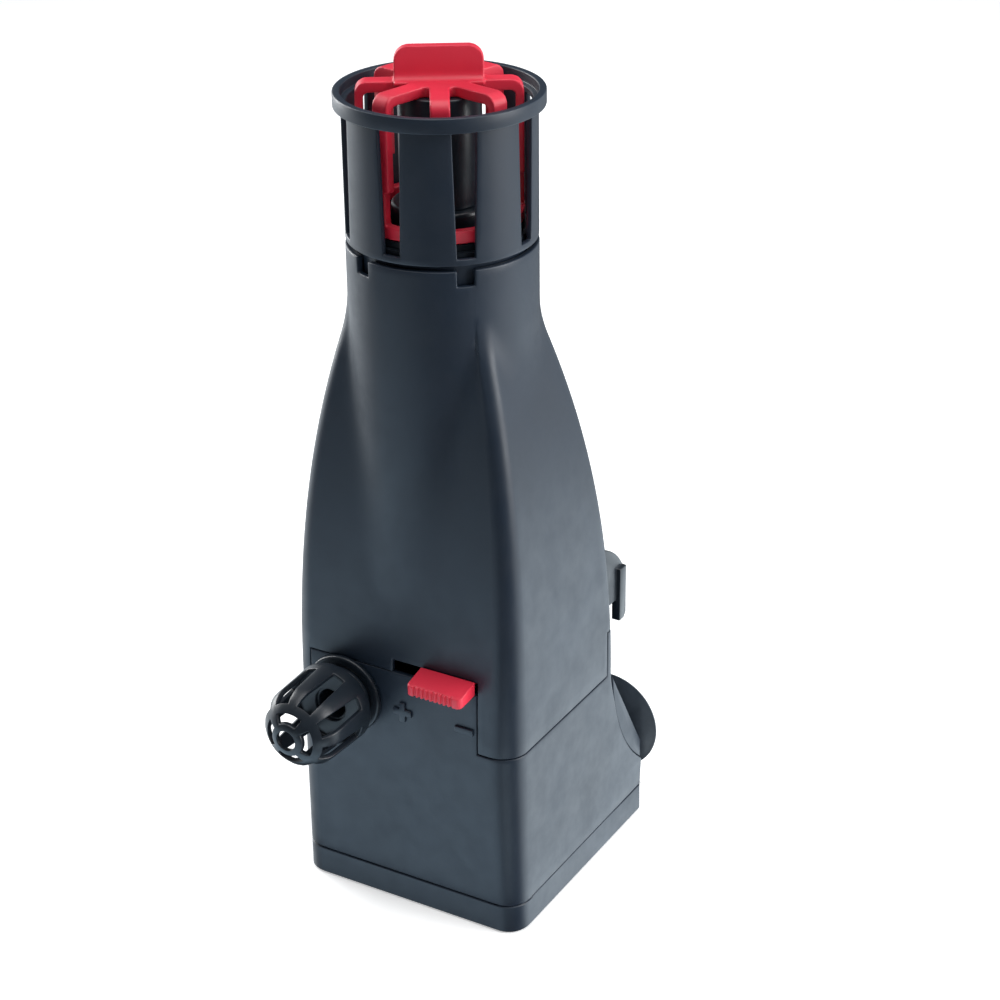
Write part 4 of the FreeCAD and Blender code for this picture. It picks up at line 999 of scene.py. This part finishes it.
def nozzle_angles(half):
    """Angles about the outlet's axis: in each eighth half a rib, a window and half the next rib."""
    pitch = 360 / NOZZLE_SLOTS
    out = []
    for i in range(NOZZLE_SLOTS):
        a0 = i * pitch
        out += [a0 + t for t in steps(0, pitch / 2 - half, RIB_COLUMNS)[:-1]]
        out += [a0 + t for t in steps(pitch / 2 - half, pitch / 2 + half, WINDOW_COLUMNS)[:-1]]
        out += [a0 + t for t in steps(pitch / 2 + half, pitch, RIB_COLUMNS)[:-1]]
    return out


def nozzle_row(r, y, half):
    return [Vector((OUTLET.x + r * math.cos(math.radians(a)), y, OUTLET.z + r * math.sin(math.radians(a))))
            for a in nozzle_angles(half)]


def window_half(y):
    """A side window's half angle, which grows towards the nose."""
    t = min(1.0, max(0.0, (WINDOW_Y0 - y) / (WINDOW_Y0 - WINDOW_Y1)))
    return lerp(WINDOW_BACK_ANGLE, WINDOW_FRONT_ANGLE, t)


def nozzle_shell():
    """The slotted bell and nose, as one pierced shell; the nose has four wide windows."""
    side = steps(WINDOW_Y0, DOME_Y, 5) + steps(DOME_Y, WINDOW_Y1, 4)[1:]
    wall = NOZZLE_WALL

    def outer_r(y):
        if y > DOME_Y:
            return lerp(DOME_R, SKIRT_R, (y - DOME_Y) / (SKIRT_Y - DOME_Y))
        return dome_r(y, DOME_R, DOME_LENGTH)

    nose = steps(NOSE_R1, NOSE_R0, 4)
    top = [(SKIRT_R, SKIRT_Y, WINDOW_BACK_ANGLE)] + [(outer_r(y), y, window_half(y)) for y in side]
    top += [(r, dome_y(r, DOME_R, DOME_LENGTH), NOSE_ANGLE) for r in nose]
    top += [(TIP_R, dome_y(TIP_R, DOME_R, DOME_LENGTH), NOSE_ANGLE)]
    inner_dome = (DOME_R - wall, DOME_LENGTH - wall)

    def inner_r(y):
        return outer_r(y) - wall if y > DOME_Y else dome_r(y, *inner_dome)

    under = [(TIP_R, dome_y(TIP_R, *inner_dome), NOSE_ANGLE)]
    under += [(r, dome_y(r, *inner_dome), NOSE_ANGLE) for r in reversed(nose)]
    under += [(inner_r(y), y, window_half(y)) for y in reversed(side)]
    floor_y = SKIRT_Y - BELL_FLOOR
    back = [(r, y, WINDOW_BACK_ANGLE)
            for r, y in ((SKIRT_R - wall, floor_y), (NECK_IN_R, floor_y), (NECK_IN_R, SKIRT_Y))]
    profile = top + under + back
    side_first, side_last = 1, len(side)
    nose_first, nose_last = side_last + 1, side_last + len(nose)
    mirror = 2 * len(top) - 1
    rows = []
    for i, (r, y, half) in enumerate(profile):
        pierced = side_first <= i <= nose_last
        rows.append((nozzle_row(r, y, half), mirror - i if pierced else None))
    per_eighth = len(rows[0][0]) // NOZZLE_SLOTS

    def window(i, k):
        i, k = i % len(profile), k % len(rows[0][0])
        eighth, place = divmod(k, per_eighth)
        low = min(i, mirror - 1 - i)
        window_end = RIB_COLUMNS + WINDOW_COLUMNS
        if side_first <= low < side_last:
            return RIB_COLUMNS <= place < window_end
        if nose_first <= low < nose_last:
            return place < window_end if eighth % 2 == 0 else place >= RIB_COLUMNS
        return False

    return pierced_lathe("nozzle_bell", rows, window)


def outlet_nozzle():
    """The slotted bell and the bored ball behind it."""
    shell = rounded(nozzle_shell(), 0.35, 3, 40)
    ball_r, neck_r, bore_r = 7.4, 5.8, 4.6
    ball = bow((0.0, PIVOT_Y), ball_r, -38, 36, 12)
    profile = [(bore_r, SKIRT_Y - 1.2), (neck_r, SKIRT_Y - 1.2), (neck_r, ball[0][1] - 0.4)] + ball
    profile += [(bore_r, ball[-1][1])]
    neck = lathe("ball", soften(profile, 0.3), 96, OUTLET, "y")
    return joined("jet_nozzle", [shell, neck])


# ---- flow slider ----

def flow_slider():
    """The grip with its sloping top and finger ribs, and the stem behind it."""
    (x0, y0, z0), (x1, stem_back, z1) = SLIDER_LOW, SLIDER_HIGH
    y1 = -front_depth(z0) - 0.2
    front_top, back_low, stem_top = z1 - 1.8, z0 + 0.6, SLIT_TOP - 0.3
    stem_left, stem_right, stem_low = 9.5, 23.5, 81.9
    ribs, depth, r = 10, 0.6, 1.5
    pitch = (x1 - x0 - 2 * r) / ribs
    front = []
    for i in range(ribs):
        a = x0 + r + i * pitch
        front += [(a + 0.1 * pitch, y0), (a + 0.55 * pitch, y0)]
        front += [(a + 0.65 * pitch, y0 + depth), (a + pitch, y0 + depth)]
    outline = bow((x0 + r, y0 + r), r, 180, 270, 6) + front[:-2] + bow((x1 - r, y0 + r), r, 270, 360, 6)
    grip = prism("grip", outline + [(x1, y1), (x0, y1)], "z", z0, z1)
    for v in grip.data.vertices:
        back = (v.co.y / MM - y0) / (y1 - y0)
        on_top = v.co.z / MM > (z0 + z1) / 2
        v.co.z = (lerp(front_top, z1, back) if on_top else lerp(z0, back_low, back)) * MM
    stem = box("stem", (stem_left, y1 - 0.6, stem_low), (stem_right, stem_back, stem_top))
    return joined("flow_slider_grip", [rounded(grip, 0.3, 3, 30), rounded(stem, 0.2, 2)])


# ---- the scene ----

def finish_piece(obj, body, slot, *nodes):
    obj.data.materials.clear()
    obj.data.materials.append(MATERIALS[slot])
    for polygon in obj.data.polygons:
        polygon.material_index = 0
    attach(obj, body)
    if nodes:
        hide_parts(*nodes)
    return obj


def dress_cad_nodes():
    """Every CAD node that stays visible takes the material of its slot in the record."""
    for part in frame["record"]["subparts"]:
        obj = frame["nodes"][part["node"]]
        obj.data.materials.clear()
        obj.data.materials.append(MATERIALS[part["material_slot"]])


CAMERA_PLACE = Vector((328.455, -529.955, 431.727))
CAMERA_AZIMUTH, CAMERA_PITCH, CAMERA_ROLL = 30.401, 26.226, -0.647
CAMERA_LENS = 85.64


def direction(azimuth, height):
    """A unit vector towards an azimuth and a height above the horizon, in degrees."""
    a, h = math.radians(azimuth), math.radians(height)
    return Vector((math.sin(a) * math.cos(h), -math.cos(a) * math.cos(h), math.sin(h)))


def make_camera():
    """The camera looks down on the front and the right side."""
    azimuth, roll = math.radians(CAMERA_AZIMUTH), math.radians(CAMERA_ROLL)
    back = direction(CAMERA_AZIMUTH, CAMERA_PITCH)
    right = Vector((math.cos(azimuth), math.sin(azimuth), 0))
    up = back.cross(right)
    c, s = math.cos(roll), math.sin(roll)
    columns = (c * right + s * up, -s * right + c * up, back)
    data = bpy.data.cameras.new("camera")
    data.lens = CAMERA_LENS
    data.sensor_width = 36.0
    data.clip_start, data.clip_end = 0.05, 20.0
    camera = bpy.data.objects.new("camera", data)
    matrix = Matrix(columns).transposed().to_4x4()
    matrix.translation = CAMERA_PLACE * MM
    camera.matrix_world = matrix
    bpy.context.scene.collection.objects.link(camera)
    bpy.context.scene.camera = camera


def area_light(name, place, target, size, power, colour=(1, 1, 1)):
    data = bpy.data.lights.new(name, "AREA")
    data.shape = "RECTANGLE"
    data.size, data.size_y = size
    data.energy = power
    data.color = colour
    light = bpy.data.objects.new(name, data)
    light.location = place
    light.visible_camera = False
    light.rotation_euler = (Vector(target) - Vector(place)).to_track_quat("-Z", "Y").to_euler()
    bpy.context.scene.collection.objects.link(light)


def glow(tree, azimuth, height, spread, strength):
    """A soft patch of light in the surroundings, centred on a direction in degrees."""
    coordinate = tree.nodes.new("ShaderNodeTexCoord")
    dot = tree.nodes.new("ShaderNodeVectorMath")
    dot.operation = "DOT_PRODUCT"
    dot.inputs[1].default_value = direction(azimuth, height)
    tree.links.new(coordinate.outputs["Generated"], dot.inputs[0])
    fade = tree.nodes.new("ShaderNodeMapRange")
    fade.interpolation_type = "SMOOTHSTEP"
    fade.inputs["From Min"].default_value = math.cos(math.radians(spread))
    fade.inputs["To Max"].default_value = strength
    tree.links.new(dot.outputs["Value"], fade.inputs["Value"])
    return fade.outputs["Result"]


# Soft patches of light all round: azimuth, height and half width in degrees, then strength.
GLOW_COLOUR = (0.88, 0.95, 1.0, 1)
GLOWS = [
    (0, 90, 100, 0.22),
    (-38, -25, 40, 0.25),
    (142, -12, 62, 0.9),
    (-104, -12, 48, 1.6),
]

# Lamps: name, place in metres, size in metres and power. They face the model's middle.
LAMPS = [
    ("key_right", (1.0, 0.25, 0.45), (0.7, 0.9), 12),
    ("side_left", (-0.9, 0.15, 0.45), (0.4, 0.9), 9),
    ("top", (0.1, 0.0, 1.3), (1.2, 1.2), 12),
]

# Cards that lie below the floor and face up; only the glossy casing sees them.
CARDS = [
    ("card_front", (-0.13, -0.21), (0.34, 0.32), 0.55, (0.6, 0.82, 1.0)),
    ("card_corner", (0.10, -0.11), (0.09, 0.09), 0.045, (0.7, 0.88, 1.0)),
    ("card_right", (0.22, 0.19), (0.36, 0.40), 0.75, (0.82, 0.93, 1.0)),
]
CARD_Z = -0.02
MODEL_MIDDLE = (0, 0, 0.12)


def make_world():
    """Studio surroundings: bright at the back right, softer at the sides, dark in front."""
    world = bpy.data.worlds.new("studio")
    world.use_nodes = True
    tree = world.node_tree
    background = tree.nodes["Background"]
    background.inputs["Color"].default_value = GLOW_COLOUR
    total = None
    for patch in GLOWS:
        value = glow(tree, *patch)
        if total:
            add = tree.nodes.new("ShaderNodeMath")
            tree.links.new(total, add.inputs[0])
            tree.links.new(value, add.inputs[1])
            value = add.outputs["Value"]
        total = value
    tree.links.new(total, background.inputs["Strength"])
    bpy.context.scene.world = world


def make_floor():
    """A wide pale floor, which glossy surfaces look straight through."""
    reach, thickness, top = 6000, 20, -0.05
    floor = box("floor", (-reach, -reach, -thickness), (reach, reach, top))
    m = Nodes("pale_floor")
    m.join(m.mixed(m.noise(60, 3), (0.86, 0.865, 0.87), (0.89, 0.89, 0.89)), m.shader.inputs["Base Color"])
    m.set(Roughness=0.75, Emission_Color=(1, 1, 1, 1), Emission_Strength=0.45)
    floor.data.materials.append(m.material)
    floor.visible_glossy = False


def make_stage():
    make_floor()
    make_world()
    for name, place, size, power in LAMPS:
        area_light(name, place, MODEL_MIDDLE, size, power)
    for name, (x, y), size, power, colour in CARDS:
        area_light(name, (x, y, CARD_Z), (x, y, 1), size, power, colour)
    bpy.context.scene.view_settings.view_transform = "Standard"


MATERIALS = make_materials()
dress_cad_nodes()

finish_piece(upper_housing(), "housing", "casing", "upper_housing")
finish_piece(lower_housing(), "housing", "casing", "lower_housing")
finish_piece(flow_signs(), "housing", "casing")
finish_piece(base_plate(), "housing", "casing", "base_plate")
finish_piece(cup_carrier(), "housing", "casing", "cup_carrier")
for side in ("left", "right"):
    finish_piece(suction_cup("suction_cup_" + side), "housing", "cup_rubber", "suction_cup_" + side)
    finish_piece(cad_copy("bracket_" + side, 0.3), "housing", "casing_dark", "bracket_" + side)
finish_piece(foam_block(), "housing", "sponge", "filter_sponge")
finish_piece(inlet_cage(), "cage", "casing", "inlet_cage")
finish_piece(float_frame(), "float", "red_plastic", "float_frame")
finish_piece(float_body(), "float", "casing_dark", "float_body")
finish_piece(float_base(), "float", "casing_dark", "float_base")
finish_piece(outlet_socket(), "housing", "casing_dark", "outlet_socket")
finish_piece(swivel_ring(), "outlet_swivel", "casing_dark", "swivel_ring")
finish_piece(outlet_nozzle(), "nozzle", "casing_dark", "outlet_nozzle")
finish_piece(flow_slider(), "flow_control", "red_plastic", "flow_slider")

make_camera()
make_stage()
